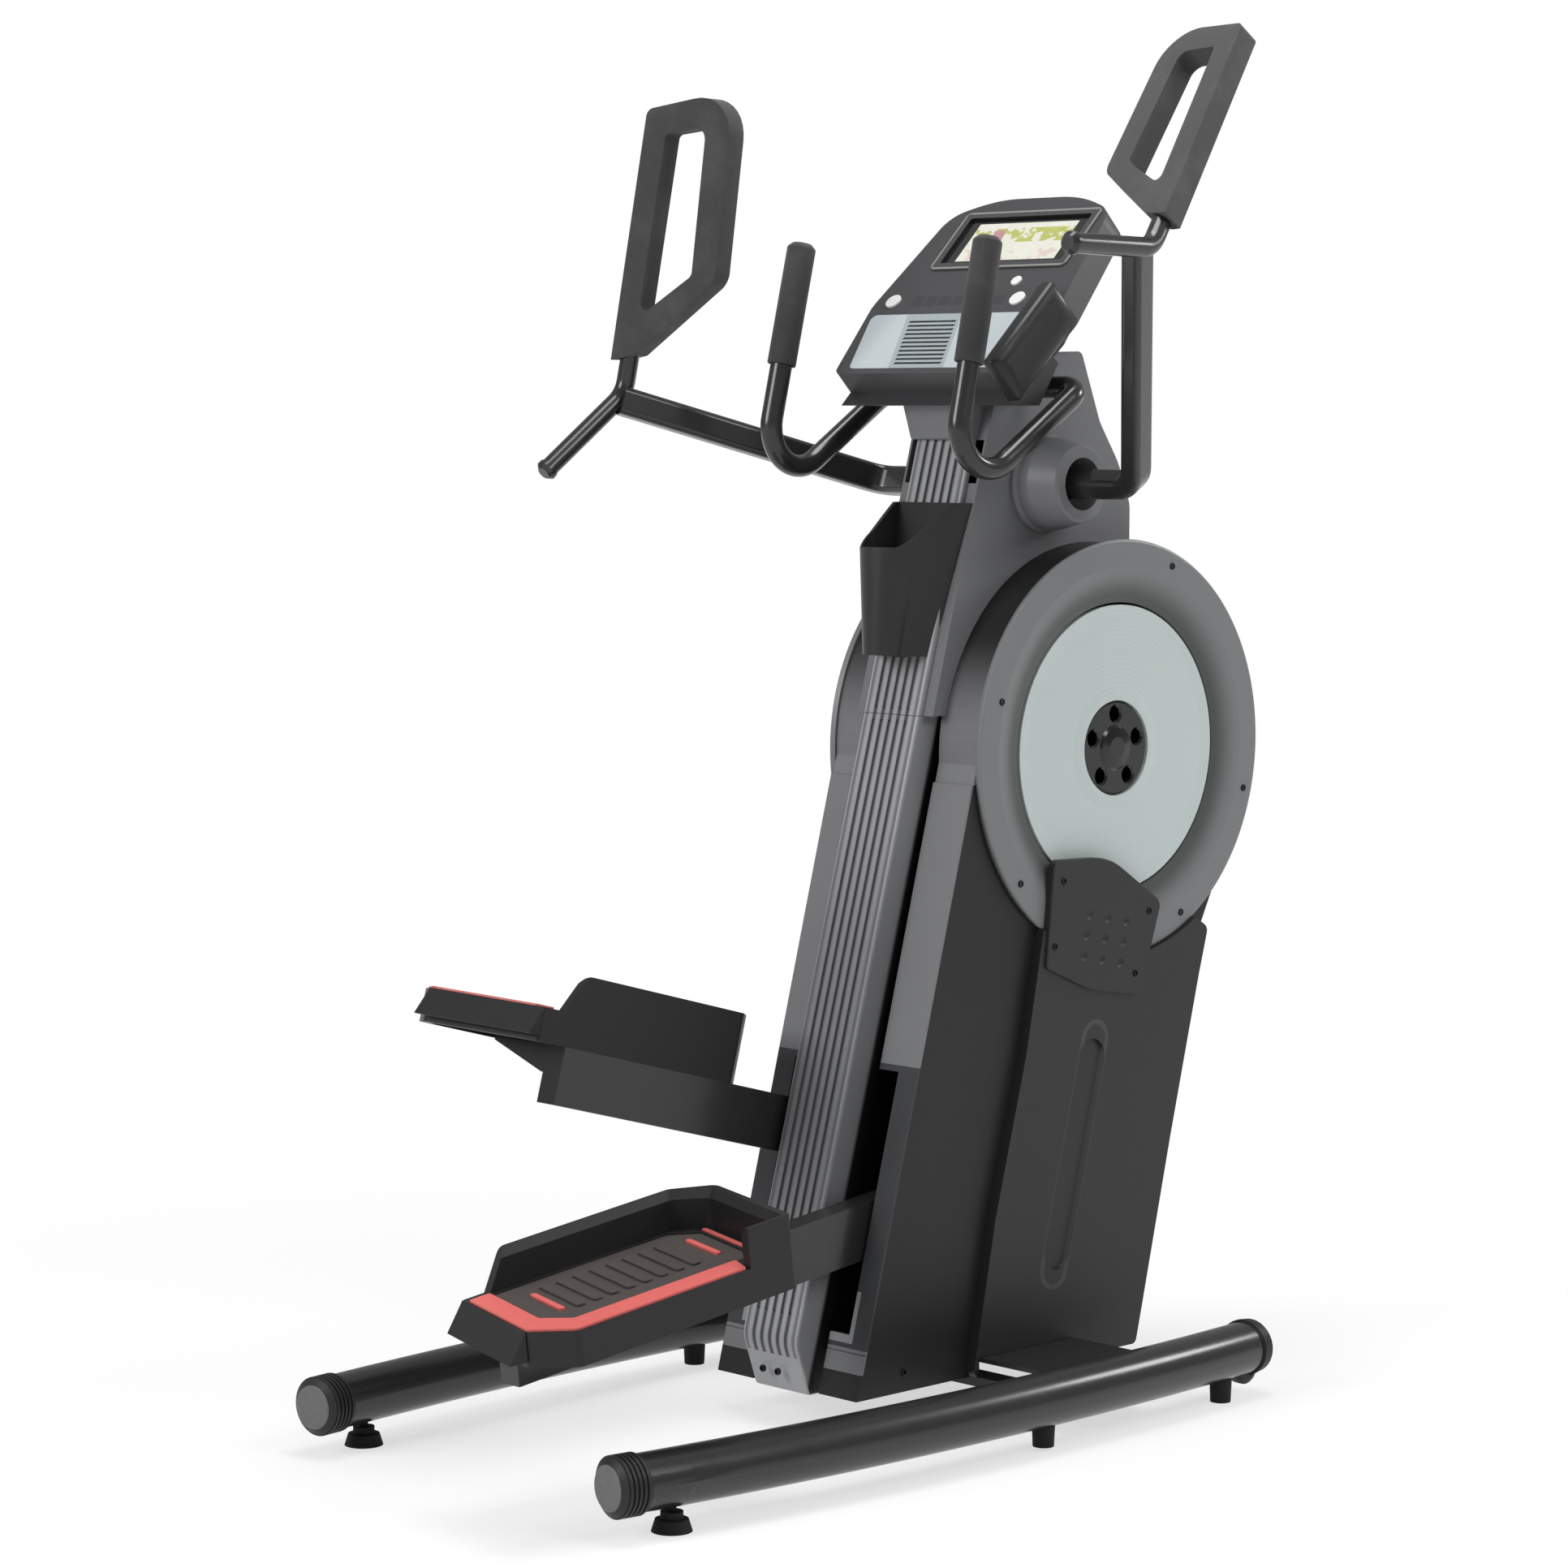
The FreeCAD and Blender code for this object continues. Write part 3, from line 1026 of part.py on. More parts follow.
def build():
    os.makedirs(PARTS, exist_ok=True)
    save("cross_beams", group([cross_bar(*BAR_REAR_Y), cross_bar(*BAR_FRONT_Y)]))
    save("base_plate", base_plate())
    save("spine", spine())
    save("mast_lower", mast_lower())
    save("mast_upper", mast_upper())
    save("head_shroud", head_shroud())
    save("front_cover", front_cover())
    save("axle", axle())
    save("flywheel", flywheel())
    save("drive_pulley", drive_pulley())
    save("drive_belt", belt())
    save("clutch_box", clutch_box())
    save("pinion", pinion())
    save("console_body", console_body())
    save("lower_panel", lower_panel())
    save("screen", screen())
    for number, (x, s, radius) in enumerate(KEYS):
        save("key_%d" % (number + 1), console_key(x, s, radius))
    save("cup_holder", cup_holder())
    save("drive_plates", pair(drive_plate()))
    save("guide_rails", pair(guide_rail()))
    save("arm_bosses", pair(arm_boss()))
    save("cover_plates", pair(cover_plate()))
    save("tube_caps", group([rear_cap(), mirrored(rear_cap()), front_cap(), mirrored(front_cap())]))
    pads = [pad(PAD_MIDDLE_Y, 5), pad(PAD_FRONT_Y, 0)]
    save("rubber_pads", group(pads + [mirrored(p) for p in pads]))
    for name, sign in SIDES.items():
        save("base_tube_" + name, on_side(base_tube(), sign))
        save("levelling_foot_" + name, on_side(levelling_foot(), sign))
        save("transport_wheel_" + name, on_side(transport_wheel(), sign))
        save("side_housing_" + name, on_side(side_housing(), sign))
        save("rear_strip_" + name, on_side(rear_strip(), sign))
        save("ring_" + name, on_side(ring(), sign))
        save("leg_cover_" + name, on_side(leg_cover(), sign))
        save("disc_" + name, on_side(disc(), sign))
        rest = -sign * CARRIAGE_REST
        save("carriage_" + name, moved(on_side(carriage(), sign), 0, rest, 0))
        save("lever_" + name, on_lever(fuse([lever(), pedal_strut()]), sign))
        save("pedal_" + name, on_lever(pedal(), sign))
        save("pedal_rim_" + name, on_lever(pedal_rim(), sign))
        save("pedal_tread_" + name, on_lever(pedal_tread(), sign))
        save("arm_" + name, on_arm(arm(), sign))
        save("loop_grip_" + name, on_arm(loop_grip(), sign))
        save("grab_bar_" + name, on_side(grab_bar(), sign))
        save("bar_grip_" + name, on_side(bar_grip(), sign))


build()
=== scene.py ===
import math

import bmesh
import bpy
from mathutils import Matrix, Vector


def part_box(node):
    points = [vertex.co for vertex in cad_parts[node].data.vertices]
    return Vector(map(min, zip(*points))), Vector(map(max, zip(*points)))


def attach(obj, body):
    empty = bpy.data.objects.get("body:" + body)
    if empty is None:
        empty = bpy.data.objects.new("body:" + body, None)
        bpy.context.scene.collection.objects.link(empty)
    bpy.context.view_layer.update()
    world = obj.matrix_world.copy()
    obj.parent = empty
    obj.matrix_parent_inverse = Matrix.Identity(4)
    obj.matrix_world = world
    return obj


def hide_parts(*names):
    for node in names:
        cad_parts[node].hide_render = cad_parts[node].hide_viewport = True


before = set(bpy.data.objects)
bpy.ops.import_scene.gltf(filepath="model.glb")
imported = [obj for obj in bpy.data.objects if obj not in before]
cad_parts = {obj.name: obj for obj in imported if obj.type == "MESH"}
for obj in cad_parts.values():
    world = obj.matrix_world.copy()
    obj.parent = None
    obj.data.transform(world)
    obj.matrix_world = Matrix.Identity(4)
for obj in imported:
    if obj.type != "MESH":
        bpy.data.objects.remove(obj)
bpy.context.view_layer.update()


# ---- floor tubes, cross bars and plate ---------------------------------------------------------------
# Two bowed round steel tubes joined by flat bars and a plate, sprayed satin black after welding.
# The paint pools slightly, so its gloss and its surface wander in a faint orange peel.
class Shade:
    """A socket in a material. Arithmetic on shades adds Math nodes, and node() adds any other node."""

    def __init__(self, tree, socket):
        self.tree = tree
        self.socket = socket

    def node(self, kind, settings=None, out=0, **sockets):
        """Adds a node and returns one output. Inputs go by name, or by number as i0, i1 and so on."""
        made = self.tree.nodes.new("ShaderNode" + kind)
        for name, value in (settings or {}).items():
            setattr(made, name, value)
        for name, value in sockets.items():
            numbered = name[0] == "i" and name[1:].isdigit()
            socket = made.inputs[int(name[1:]) if numbered else name]
            if isinstance(value, Shade):
                self.tree.links.new(value.socket, socket)
            else:
                socket.default_value = value
        return Shade(self.tree, made.outputs[out])

    def maths(self, operation, first, second=0.0, clamp=False):
        return self.node("Math", {"operation": operation, "use_clamp": clamp}, i0=first, i1=second)

    def __add__(self, other):
        return self.maths("ADD", self, other)

    def __sub__(self, other):
        return self.maths("SUBTRACT", self, other)

    def __rsub__(self, other):
        return self.maths("SUBTRACT", other, self)

    def __mul__(self, other):
        return self.maths("MULTIPLY", self, other)

    def __gt__(self, other):
        return self.maths("GREATER_THAN", self, other)

    def __lt__(self, other):
        return self.maths("LESS_THAN", self, other)

    def __abs__(self):
        return self.maths("ABSOLUTE", self)

    __radd__ = __add__
    __rmul__ = __mul__

    def within(self, low, high):
        """0 up to low, 1 from high on, smooth between."""
        limits = {"From Min": low, "From Max": high}
        return self.node("MapRange", {"interpolation_type": "SMOOTHSTEP"}, Value=self, **limits)

    def noise(self, scale, detail=2.0, roughness=0.5):
        return self.node("TexNoise", Vector=self, Scale=scale, Detail=detail, Roughness=roughness)

    def cells(self, scale, feature="SMOOTH_F1"):
        return self.node("TexVoronoi", {"feature": feature}, Vector=self, Scale=scale)

    def mix(self, low, high):
        """Colour low where this value is 0 and high where it is 1."""
        return self.node("Mix", {"data_type": "RGBA"}, 2, i0=self, i6=low, i7=high)

    def axis(self, index):
        return self.node("SeparateXYZ", out=index, Vector=self)

    def moved(self, turn=(0, 0, 0), scale=(1, 1, 1)):
        """The same vector, turned and stretched."""
        return self.node("Mapping", Vector=self, Rotation=turn, Scale=scale)


def tone(red, green, blue):
    """A colour given as display values from 0 to 255, turned into light by the sRGB curve."""
    parts = [c / 255 for c in (red, green, blue)]
    return tuple(c / 12.92 if c <= 0.04045 else ((c + 0.055) / 1.055) ** 2.4 for c in parts) + (1.0,)


def shaded(colour, factor):
    """The colour with its light multiplied by the factor."""
    return tuple(c * factor for c in colour[:3]) + (1.0,)


class Finish:
    """A material with a Principled shader. Its place is the Object coordinate that patterns grow from."""

    def __init__(self, name):
        self.material = bpy.data.materials.new(name)
        self.material.use_nodes = True
        self.tree = self.material.node_tree
        self.shader = self.tree.nodes["Principled BSDF"]
        coordinates = self.tree.nodes.new("ShaderNodeTexCoord")
        self.place = Shade(self.tree, coordinates.outputs["Object"])
        self.colour = None

    def set(self, **sockets):
        """Sets or links sockets of the shader, with _ for a space in a name."""
        for name, value in sockets.items():
            socket = self.shader.inputs[name.replace("_", " ")]
            if isinstance(value, Shade):
                self.tree.links.new(value.socket, socket)
            else:
                socket.default_value = value
            if name == "Base_Color":
                self.colour = value

    def bump(self, height, depth, strength=1.0):
        """Raises the surface by up to depth metres where height is 1."""
        self.set(Normal=height.node("Bump", Strength=strength, Distance=depth, Height=height))

    def on(self, *names):
        """Puts the material on CAD nodes."""
        for name in names:
            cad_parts[name].material_slots[0].material = self.material


def paint(name, colour, roughness=0.36, peel=0.00012):
    """Sprayed enamel on steel: wandering gloss, faint orange peel, rubbed and dusty in places."""
    finish = Finish(name)
    cloud = finish.place.noise(5.0, 4.0, 0.6)
    rubbed = finish.place.noise(34.0, 6.0, 0.7).within(0.60, 0.80)
    fleck = finish.place.noise(240.0, 3.0, 0.7).within(0.66, 0.80)
    pale = cloud * 0.45 + rubbed * 0.3 + fleck * 0.35
    finish.set(
        Base_Color=pale.mix(shaded(colour, 0.82), shaded(colour, 1.55)),
        Roughness=cloud * 0.12 + rubbed * 0.10 + fleck * 0.2 + (roughness - 0.08),
        Specular_IOR_Level=0.4,
        Coat_Weight=0.25,
        Coat_Roughness=0.16,
    )
    finish.bump(finish.place.noise(420.0, 1.0) + fleck * 0.4, peel, 0.35)
    return finish


tube_paint = paint("satin black tube paint", tone(33, 33, 34), 0.30)
tube_paint.on("base_tube_left", "base_tube_right", "spine")
paint("plate paint", tone(26, 26, 27), 0.5).on("cross_beams", "base_plate")


# ---- end caps, feet, pads and wheels -----------------------------------------------------------------
# Ribbed nylon caps push over the tube ends, and the front ones hold a small roller each.
# Their flat ends are coarse textured and greyed by handling. The feet and pads are moulded rubber.
def plastic(name, colour, roughness=0.5, grain=900.0, depth=0.00010, spread=0.12, worn=0.0):
    """Moulded plastic: spark-eroded grain, slow colour drift, and scuffs that show as far as it is worn."""
    finish = Finish(name)
    drift = finish.place.noise(4.5, 4.0, 0.6)
    speck = finish.place.noise(grain * 0.6, 2.0, 0.7)
    rubbed_along = finish.place.moved(turn=(0.4, 0.2, 0.9), scale=(60.0, 9.0, 60.0))
    streak = rubbed_along.noise(1.0, 5.0, 0.7).within(0.62, 0.76)
    finish.drift, finish.speck = drift, speck
    pale = drift * 0.6 + speck * 0.4 + streak * worn
    finish.set(
        Base_Color=pale.mix(shaded(colour, 1 - spread), shaded(colour, 1 + spread)),
        Roughness=drift * 0.16 + speck * 0.10 + streak * (0.12 + worn * 0.1) + (roughness - 0.13),
        Specular_IOR_Level=0.3,
    )
    finish.bump(finish.place.cells(grain) * 0.6 + speck * 0.4, depth, 0.5)
    return finish


tube_turn = math.radians(7.57)      # the tubes' rear ends turn in by this much


def along_tube(across, forward):
    """How far back a place lies along the rear end of either tube."""
    return across * -math.sin(tube_turn) - forward * math.cos(tube_turn)


rearmost_x = 0.3317                 # where the caps' rims reach furthest back
end_face_depth = 0.0012
caps = plastic("cap nylon", tone(36, 36, 37), 0.5, worn=0.5)
rim_reach = along_tube(rearmost_x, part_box("tube_caps")[0][1])
end_face = along_tube(abs(caps.place.axis(0)), caps.place.axis(1)) > rim_reach - end_face_depth
mottle = caps.speck * 0.7 + caps.place.noise(160.0, 4.0, 0.7) * 0.5
caps.set(Base_Color=end_face.mix(caps.colour, mottle.mix(tone(62, 62, 62), tone(112, 112, 111))))
caps.on("tube_caps")
plastic("wheel nylon", tone(30, 30, 31), 0.45, worn=0.8).on("transport_wheel_left", "transport_wheel_right")
plastic("foot rubber", tone(24, 24, 25), 0.75, 500.0, 0.0002, 0.25, 0.8).on(
    "levelling_foot_left", "levelling_foot_right", "rubber_pads")


# ---- tower: ribbed mast, housings, strips ------------------------------------------------------------
# Injection-moulded shells in two greys and a near black, screwed together along their rear edges.
# The grain is the fine spark-eroded one that hides sink marks and handling.
def between(value, low, high):
    """1 where the value lies between two limits, and 0 elsewhere."""
    return (value > low) * (value < high)


axle_low, axle_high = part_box("axle")
wheel_y, wheel_z = (axle_low[1] + axle_high[1]) / 2, (axle_low[2] + axle_high[2]) / 2
toe_y, toe_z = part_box("mast_lower")[0][1], 0.127      # where the mast's straight rear face starts
mast_lean = math.tan(math.radians(15.4))
groove_spacing, groove_foot, groove_depth = 0.016, 0.096, 0.012
ribs_half, grooves_half, flank_half = 0.050, 0.036, 0.054
seam_z = 1.0
mast = plastic("mast grey", tone(150, 151, 153), 0.44, worn=0.3)
x, y, z = (mast.place.axis(i) for i in range(3))
depth = y - toe_y - (z - toe_z) * mast_lean
on_rear = depth < groove_depth
from_groove = x.maths("PINGPONG", x, groove_spacing / 2)
# painted shade: the ribs are darkened towards each groove, so that they look rounded
painted_rib_shade = (1 - from_groove.within(0.0008, 0.0070)) * (abs(x) < ribs_half) * on_rear * (z > groove_foot)
seam = between(z, seam_z - 0.0006, seam_z + 0.0006)
runs_out = between(z, groove_foot, groove_foot + 0.070) + between(z, seam_z - 0.009, seam_z + 0.009)
# painted shade: the grooves are darkened where they run out near the foot and at the seam, and the seam
# itself is a dark joint line
painted_groove_shade = (from_groove < 0.0030) * (abs(x) < grooves_half) * runs_out * on_rear
# painted shade: near black in the gap beside the mast's sides
painted_gap_shade = (abs(x) > flank_half + 0.0005) * depth.within(0.034, 0.043)
middle = z.within(0.16, 0.34) * (1 - z.within(0.60, 1.00))      # painted shade: darker in the middle of its height than at the foot and the top
colour = (middle * 0.65).mix(mast.colour, tone(92, 93, 95))
# painted shade: the mast's sides are darker than its ribbed rear face
colour = ((abs(x) > flank_half) * 0.45).mix(colour, tone(78, 79, 81))
colour = (painted_rib_shade * 0.75).mix(colour, tone(76, 77, 79))
colour = (painted_groove_shade * 0.75 + seam * 0.8).mix(colour, tone(44, 44, 46))
mast.set(Base_Color=painted_gap_shade.mix(colour, tone(10, 10, 10)))
mast.on("mast_lower", "mast_upper")
plastic("casing grey", tone(105, 106, 108), 0.44, worn=0.25).on("head_shroud", "arm_bosses")

drum_edge, drum_foot, drum_rear_y = (0.296, 0.301), 0.905, -0.15      # the drum's wall behind the strips
housing = plastic("housing black", tone(31, 31, 32), 0.42, 700.0, worn=0.3)
y, z = housing.place.axis(1) - wheel_y, housing.place.axis(2)
height = z - wheel_z
radius = housing.place.maths("SQRT", y * y + height * height)
# a grey band on the drum's wall, with painted shade that fades it to black towards the top
drum_wall_and_shade = radius.within(*drum_edge) * (1 - z.within(0.97, 1.12)) * (z > drum_foot) * (y < drum_rear_y)
wall_grey = housing.drift.mix(tone(104, 105, 107), tone(124, 125, 127))
housing.set(Base_Color=drum_wall_and_shade.mix(housing.colour, wall_grey))
housing.on("side_housing_left", "side_housing_right", "front_cover")

recess_y, recess_z, recess_length = 0.3259, 0.190, 0.341      # the foot and the length of the recess's line
recess_forward, recess_up = 0.2522, 0.9677                    # the direction of that line
leg_skin_x = 0.1415
cover = plastic("cover charcoal", tone(42, 42, 43), 0.42, 700.0, worn=0.35)
y, z = cover.place.axis(1) - recess_y, cover.place.axis(2) - recess_z
along = y * recess_forward + z * recess_up
along = along.maths("MINIMUM", along.maths("MAXIMUM", along, 0.0), recess_length)
y, z = y - along * recess_forward, z - along * recess_up
from_line = cover.place.maths("SQRT", y * y + z * z)
outer_face = abs(cover.place.axis(0)) > leg_skin_x
# painted highlight: a paler band round the recess in the leg cover's outer face
rim = from_line.within(0.0195, 0.0235) * (1 - from_line.within(0.0275, 0.0305)) * outer_face
cover.set(Base_Color=(rim * 0.5).mix(cover.colour, tone(78, 78, 80)))
cover.on("leg_cover_left", "leg_cover_right")
plastic("plate charcoal", tone(44, 44, 46), 0.46, 500.0, 0.00016, worn=0.35).on("cover_plates")

block_foot, block_top, slot_head = 0.090, 0.1225, 0.512       # heights on the strip below and round its slot
rim_foot, rim_head, rim_outer_x = 0.129, 0.200, 0.112
strip = plastic("strip grey", tone(112, 113, 115), 0.46, worn=0.3)
height = strip.place.axis(2)
slot_reach = between(height, block_top, slot_head)
below_block = height < block_foot
toe_rim = between(height, rim_foot, rim_head) * (abs(strip.place.axis(0)) < rim_outer_x)
colour = slot_reach.mix(strip.colour, strip.speck.mix(tone(50, 51, 53), tone(62, 63, 65)))
colour = (toe_rim * 0.8).mix(colour, tone(146, 147, 149))
strip.set(Base_Color=below_block.mix(colour, tone(30, 30, 31)))
strip.on("rear_strip_left", "rear_strip_right")


# ---- rings and discs ---------------------------------------------------------------------------------
# A grey bezel with a dished inner face surrounds each pale disc, which turns with the axle.
# The disc is a satin moulding with faint turned rings, and the hub is a dark polished flange.
def from_axle(finish):
    """Distance of a point from the axle's line."""
    across = finish.place.axis(1) - wheel_y
    up = finish.place.axis(2) - wheel_z
    return finish.place.maths("SQRT", across * across + up * up)


ring = plastic("ring grey", tone(113, 115, 116), 0.36, 1100.0, 0.00005, 0.06, 0.4)
# painted shade: the dished face inside the bezel is darker than its flat rim
painted_dish_shade = 1 - from_axle(ring).within(0.220, 0.262)
ring.set(Base_Color=(painted_dish_shade * 0.8).mix(ring.colour, tone(56, 57, 57)))
ring.on("ring_left", "ring_right")

turning_marks = 900.0               # radians of the tool's marks in one metre of radius
disc = plastic("disc pale", tone(180, 190, 188), 0.30, 1200.0, 0.00003, 0.03, 0.25)
turned = disc.place.maths("SINE", from_axle(disc) * turning_marks)
disc.set(Roughness=turned * 0.03 + disc.drift * 0.12 + 0.24)
disc.on("disc_left", "disc_right")
paint("hub black", tone(8, 8, 9), 0.16, 0.00005).on("axle")


# ---- works inside the tower --------------------------------------------------------------------------
# Turned and milled steel, a grey iron flywheel and a rubber belt, seen only through the pedal slots.
# Rails and plates are bolted to the upright tube inside, and the racks' teeth run on the pinion's.
def metal(name, colour, roughness=0.35):
    """Machined metal: fine directional lines, with oil-darkened patches."""
    finish = Finish(name)
    lines = finish.place.moved(scale=(40.0, 1200.0, 40.0)).noise(1.0, 2.0)
    stain = finish.place.noise(14.0, 4.0).within(0.35, 0.75)
    finish.set(
        Base_Color=stain.mix(shaded(colour, 0.7), colour),
        Roughness=lines * 0.18 + (roughness - 0.08),
        Metallic=1.0,
    )
    finish.bump(lines, 0.00005, 0.5)
    return finish


metal("machined steel", tone(168, 168, 170)).on(
    "carriage_left", "carriage_right", "clutch_box", "drive_plates", "drive_pulley", "guide_rails", "pinion")
metal("flywheel iron", tone(84, 84, 88), 0.5).on("flywheel")
plastic("belt rubber", tone(36, 36, 36), 0.8, 500.0, 0.0002).on("drive_belt")


# ---- cover screws ------------------------------------------------------------------------------------
# Black button-head screws with a round socket hold the rings, the plates, the leg covers and the mast.
# One is made and copied, and each copy sits half sunk in the face that it holds.
def primitive(kind, name, **settings):
    """Adds a primitive with nothing else selected, and opens it for editing."""
    bpy.ops.object.select_all(action="DESELECT")
    getattr(bpy.ops.mesh, "primitive_" + kind + "_add")(**settings)
    bpy.ops.object.transform_apply(location=True, rotation=True, scale=True)
    piece = bpy.context.object
    piece.name = name
    bpy.ops.object.mode_set(mode="EDIT")
    return piece


def choose(piece, kind, test):
    """Selects just the vertices, edges or faces that pass the test."""
    bpy.ops.mesh.select_mode(type=kind)
    bpy.ops.mesh.select_all(action="DESELECT")
    mesh = bmesh.from_edit_mesh(piece.data)
    for part in {"VERT": mesh.verts, "EDGE": mesh.edges, "FACE": mesh.faces}[kind]:
        if test(part):
            part.select_set(True)
    bmesh.update_edit_mesh(piece.data)


def slide(x, y, z):
    """Moves what is selected."""
    bpy.ops.transform.translate(value=(x, y, z))


def pull(x, y, z):
    """Extrudes what is selected."""
    bpy.ops.mesh.extrude_region_move(TRANSFORM_OT_translate={"value": (x, y, z)})


def soften(piece, width, segments=3):
    """Rounds every sharp edge, back in object mode."""
    bpy.ops.object.mode_set(mode="OBJECT")
    edge = piece.modifiers.new("edge", "BEVEL")
    edge.width = width
    edge.segments = segments
    edge.limit_method = "ANGLE"
    edge.angle_limit = math.radians(32)
    bpy.ops.object.modifier_apply(modifier=edge.name)
    bpy.ops.object.shade_smooth_by_angle(angle=math.radians(40))


def fit(piece, finish, body):
    """Dresses a finished piece, and tells which body it rides on."""
    piece.data.materials.clear()
    piece.data.materials.append(finish.material)
    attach(piece, body)


def copy_at(model, name, place):
    """A copy with its own mesh, put in its place in that mesh."""
    piece = model.copy()
    piece.data = model.data.copy()
    piece.name = name
    bpy.context.scene.collection.objects.link(piece)
    piece.data.transform(place)
    if place.determinant() < 0:
        piece.data.flip_normals()
    return piece


def facing(place, direction):
    """Frame at a place with its Z along the direction."""
    return Matrix.Translation(place) @ Vector(direction).to_track_quat("Z", "Y").to_matrix().to_4x4()


screw_steel = metal("blackened screw", tone(52, 52, 55), 0.42)
head_radius, head_height, socket_wall, socket_depth = 0.0052, 0.004, 0.0014, 0.0022
screw = primitive(
    "cylinder", "cover_screw", vertices=20, radius=head_radius, depth=head_height, location=(0, 0, 0))
choose(screw, "FACE", lambda face: face.normal.z > 0.9)
bpy.ops.mesh.bevel(offset=0.0013, segments=2)
choose(screw, "FACE", lambda face: face.normal.z > 0.99 and face.calc_center_median().z > 0.0019)
bpy.ops.mesh.inset(thickness=socket_wall)
pull(0, 0, -socket_depth)
bpy.ops.object.mode_set(mode="OBJECT")
bpy.ops.object.shade_smooth_by_angle(angle=math.radians(40))


def drive_screw(name, place, direction):
    """Sets a copy of the screw in a face, with its head along the direction."""
    fit(copy_at(screw, name, facing(place, direction)), screw_steel, "frame")


ring_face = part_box("ring_right")[1][0]
plate_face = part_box("cover_plates")[1][0]
mast_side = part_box("mast_lower")[1][0]
screw_places = []
for angle, radius in ((68, 0.285), (163, 0.272), (-15, 0.285), (-140, 0.285), (-62, 0.285)):
    y = wheel_y + radius * math.cos(math.radians(angle))
    z = wheel_z + radius * math.sin(math.radians(angle))
    screw_places.append((ring_face, y, z))
for behind_axle, z in ((0.139, 0.758), (-0.049, 0.700), (0.157, 0.664), (-0.019, 0.610)):
    screw_places.append((plate_face, wheel_y - behind_axle, z))
for x, behind_axle, z in ((0.1505, -0.128, 0.548), (0.1518, 0.013, 0.091), (0.1412, 0.443, 0.082)):
    screw_places.append((x, wheel_y - behind_axle, z))
number = 0
for x, y, z in screw_places:
    for side in (1, -1):
        number += 1
        drive_screw("cover_screw_%02d" % number, (x * side, y, z), (side, 0, 0))
for side in (1, -1):
    number += 1
    drive_screw("mast_screw_%02d" % number, (0.015 * side, toe_y + 0.0012, 0.082), (0, -1, 0.05))
    number += 1
    drive_screw("mast_screw_%02d" % number, (mast_side * side, wheel_y - 0.301, 1.019), (side, 0, 0))

bpy.data.objects.remove(screw)


# ---- pedals and levers -------------------------------------------------------------------------------
# Foot beds moulded in glass-filled nylon on painted box levers, with a rubber tread and a red edge strip.
# Shoes leave pale scuffs on the tread and polish the lip of the wall.
tube_paint.on("lever_left", "lever_right")
plastic("pedal black", tone(31, 31, 32), 0.46, 600.0, 0.00018, 0.2, 0.6).on("pedal_left", "pedal_right")
plastic("rim red", tone(206, 100, 95), 0.42, 1000.0, 0.00006, 0.06, 0.5).on(
    "pedal_rim_left", "pedal_rim_right")
plastic("tread rubber", tone(68, 62, 60), 0.6, 500.0, 0.0003, 0.25, 0.9).on(
    "pedal_tread_left", "pedal_tread_right")


# ---- hand arms and grab bars -------------------------------------------------------------------------
# Bent rectangular tubes with a welded cross bar, and bent round bars, all in a glossier black paint.
# The arms turn on shafts in the grey bosses, and the grab bars are fixed to the head casing.
paint("gloss black arm paint", tone(36, 36, 37), 0.26, 0.00008).on(
    "arm_left", "arm_right", "grab_bar_left", "grab_bar_right")


# ---- foam hand loops ---------------------------------------------------------------------------------
# Each loop is a steel core in moulded closed-cell foam with flat faces and rounded edges.
# The foam ends square where the steel bar goes in at its foot, and its skin is finely pored.
def foam(name, colour):
    """Closed-cell foam: open pores in a lumpy skin, smoother and paler where hands hold it."""
    finish = Finish(name)
    pores = finish.place.cells(1300.0, "F1")
    lumps = finish.place.noise(90.0, 3.0)
    handled = finish.place.noise(14.0, 3.0, 0.6).within(0.45, 0.7)
    pale = pores * 0.7 + lumps * 0.4 + handled * 0.2
    finish.set(
        Base_Color=pale.mix(shaded(colour, 0.72), shaded(colour, 1.25)),
        Roughness=0.9 - handled * 0.16,
        Sheen_Weight=0.12,
        Sheen_Roughness=0.5,
    )
    finish.bump(pores * 0.7 + lumps * 0.6, 0.0004, 0.6)
    return finish


def centre_on(piece, node):
    """Moves a piece in its mesh until its box has the same middle as the node's."""
    low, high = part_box(node)
    corners = [v.co for v in piece.data.vertices]
    middle = [(min(c[i] for c in corners) + max(c[i] for c in corners)) / 2 for i in range(3)]
    piece.data.transform(Matrix.Translation([(low[i] + high[i]) / 2 - middle[i] for i in range(3)]))


def pad(piece, finish, node, body):
    """Foam piece in the place of its CAD node."""
    centre_on(piece, node)
    fit(piece, finish, body)
    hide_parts(node)


# The loop is drawn flat, with X along its long side. Its corners run from the foot round to the foot.
loop_foam = foam("loop foam", tone(52, 52, 52))
loop_outer = [(-0.047, -0.020), (0.350, -0.021), (0.401, 0.133), (0.124, 0.150)]
loop_inner = [(0.050, 0.020), (0.320, 0.020), (0.341, 0.092), (0.126, 0.106)]
outer_radii, inner_radii = (0.011, 0.014, 0.056, 0.032), (0.010, 0.009, 0.016, 0.012)
loop_thickness, blank = 0.034, 0.2
blank_corners = ((0, -blank / 2), (blank, -blank / 2), (blank, blank / 2), (0, blank / 2))
loop = primitive("plane", "loop_foam", size=blank, location=(blank / 2, 0, -loop_thickness / 2))


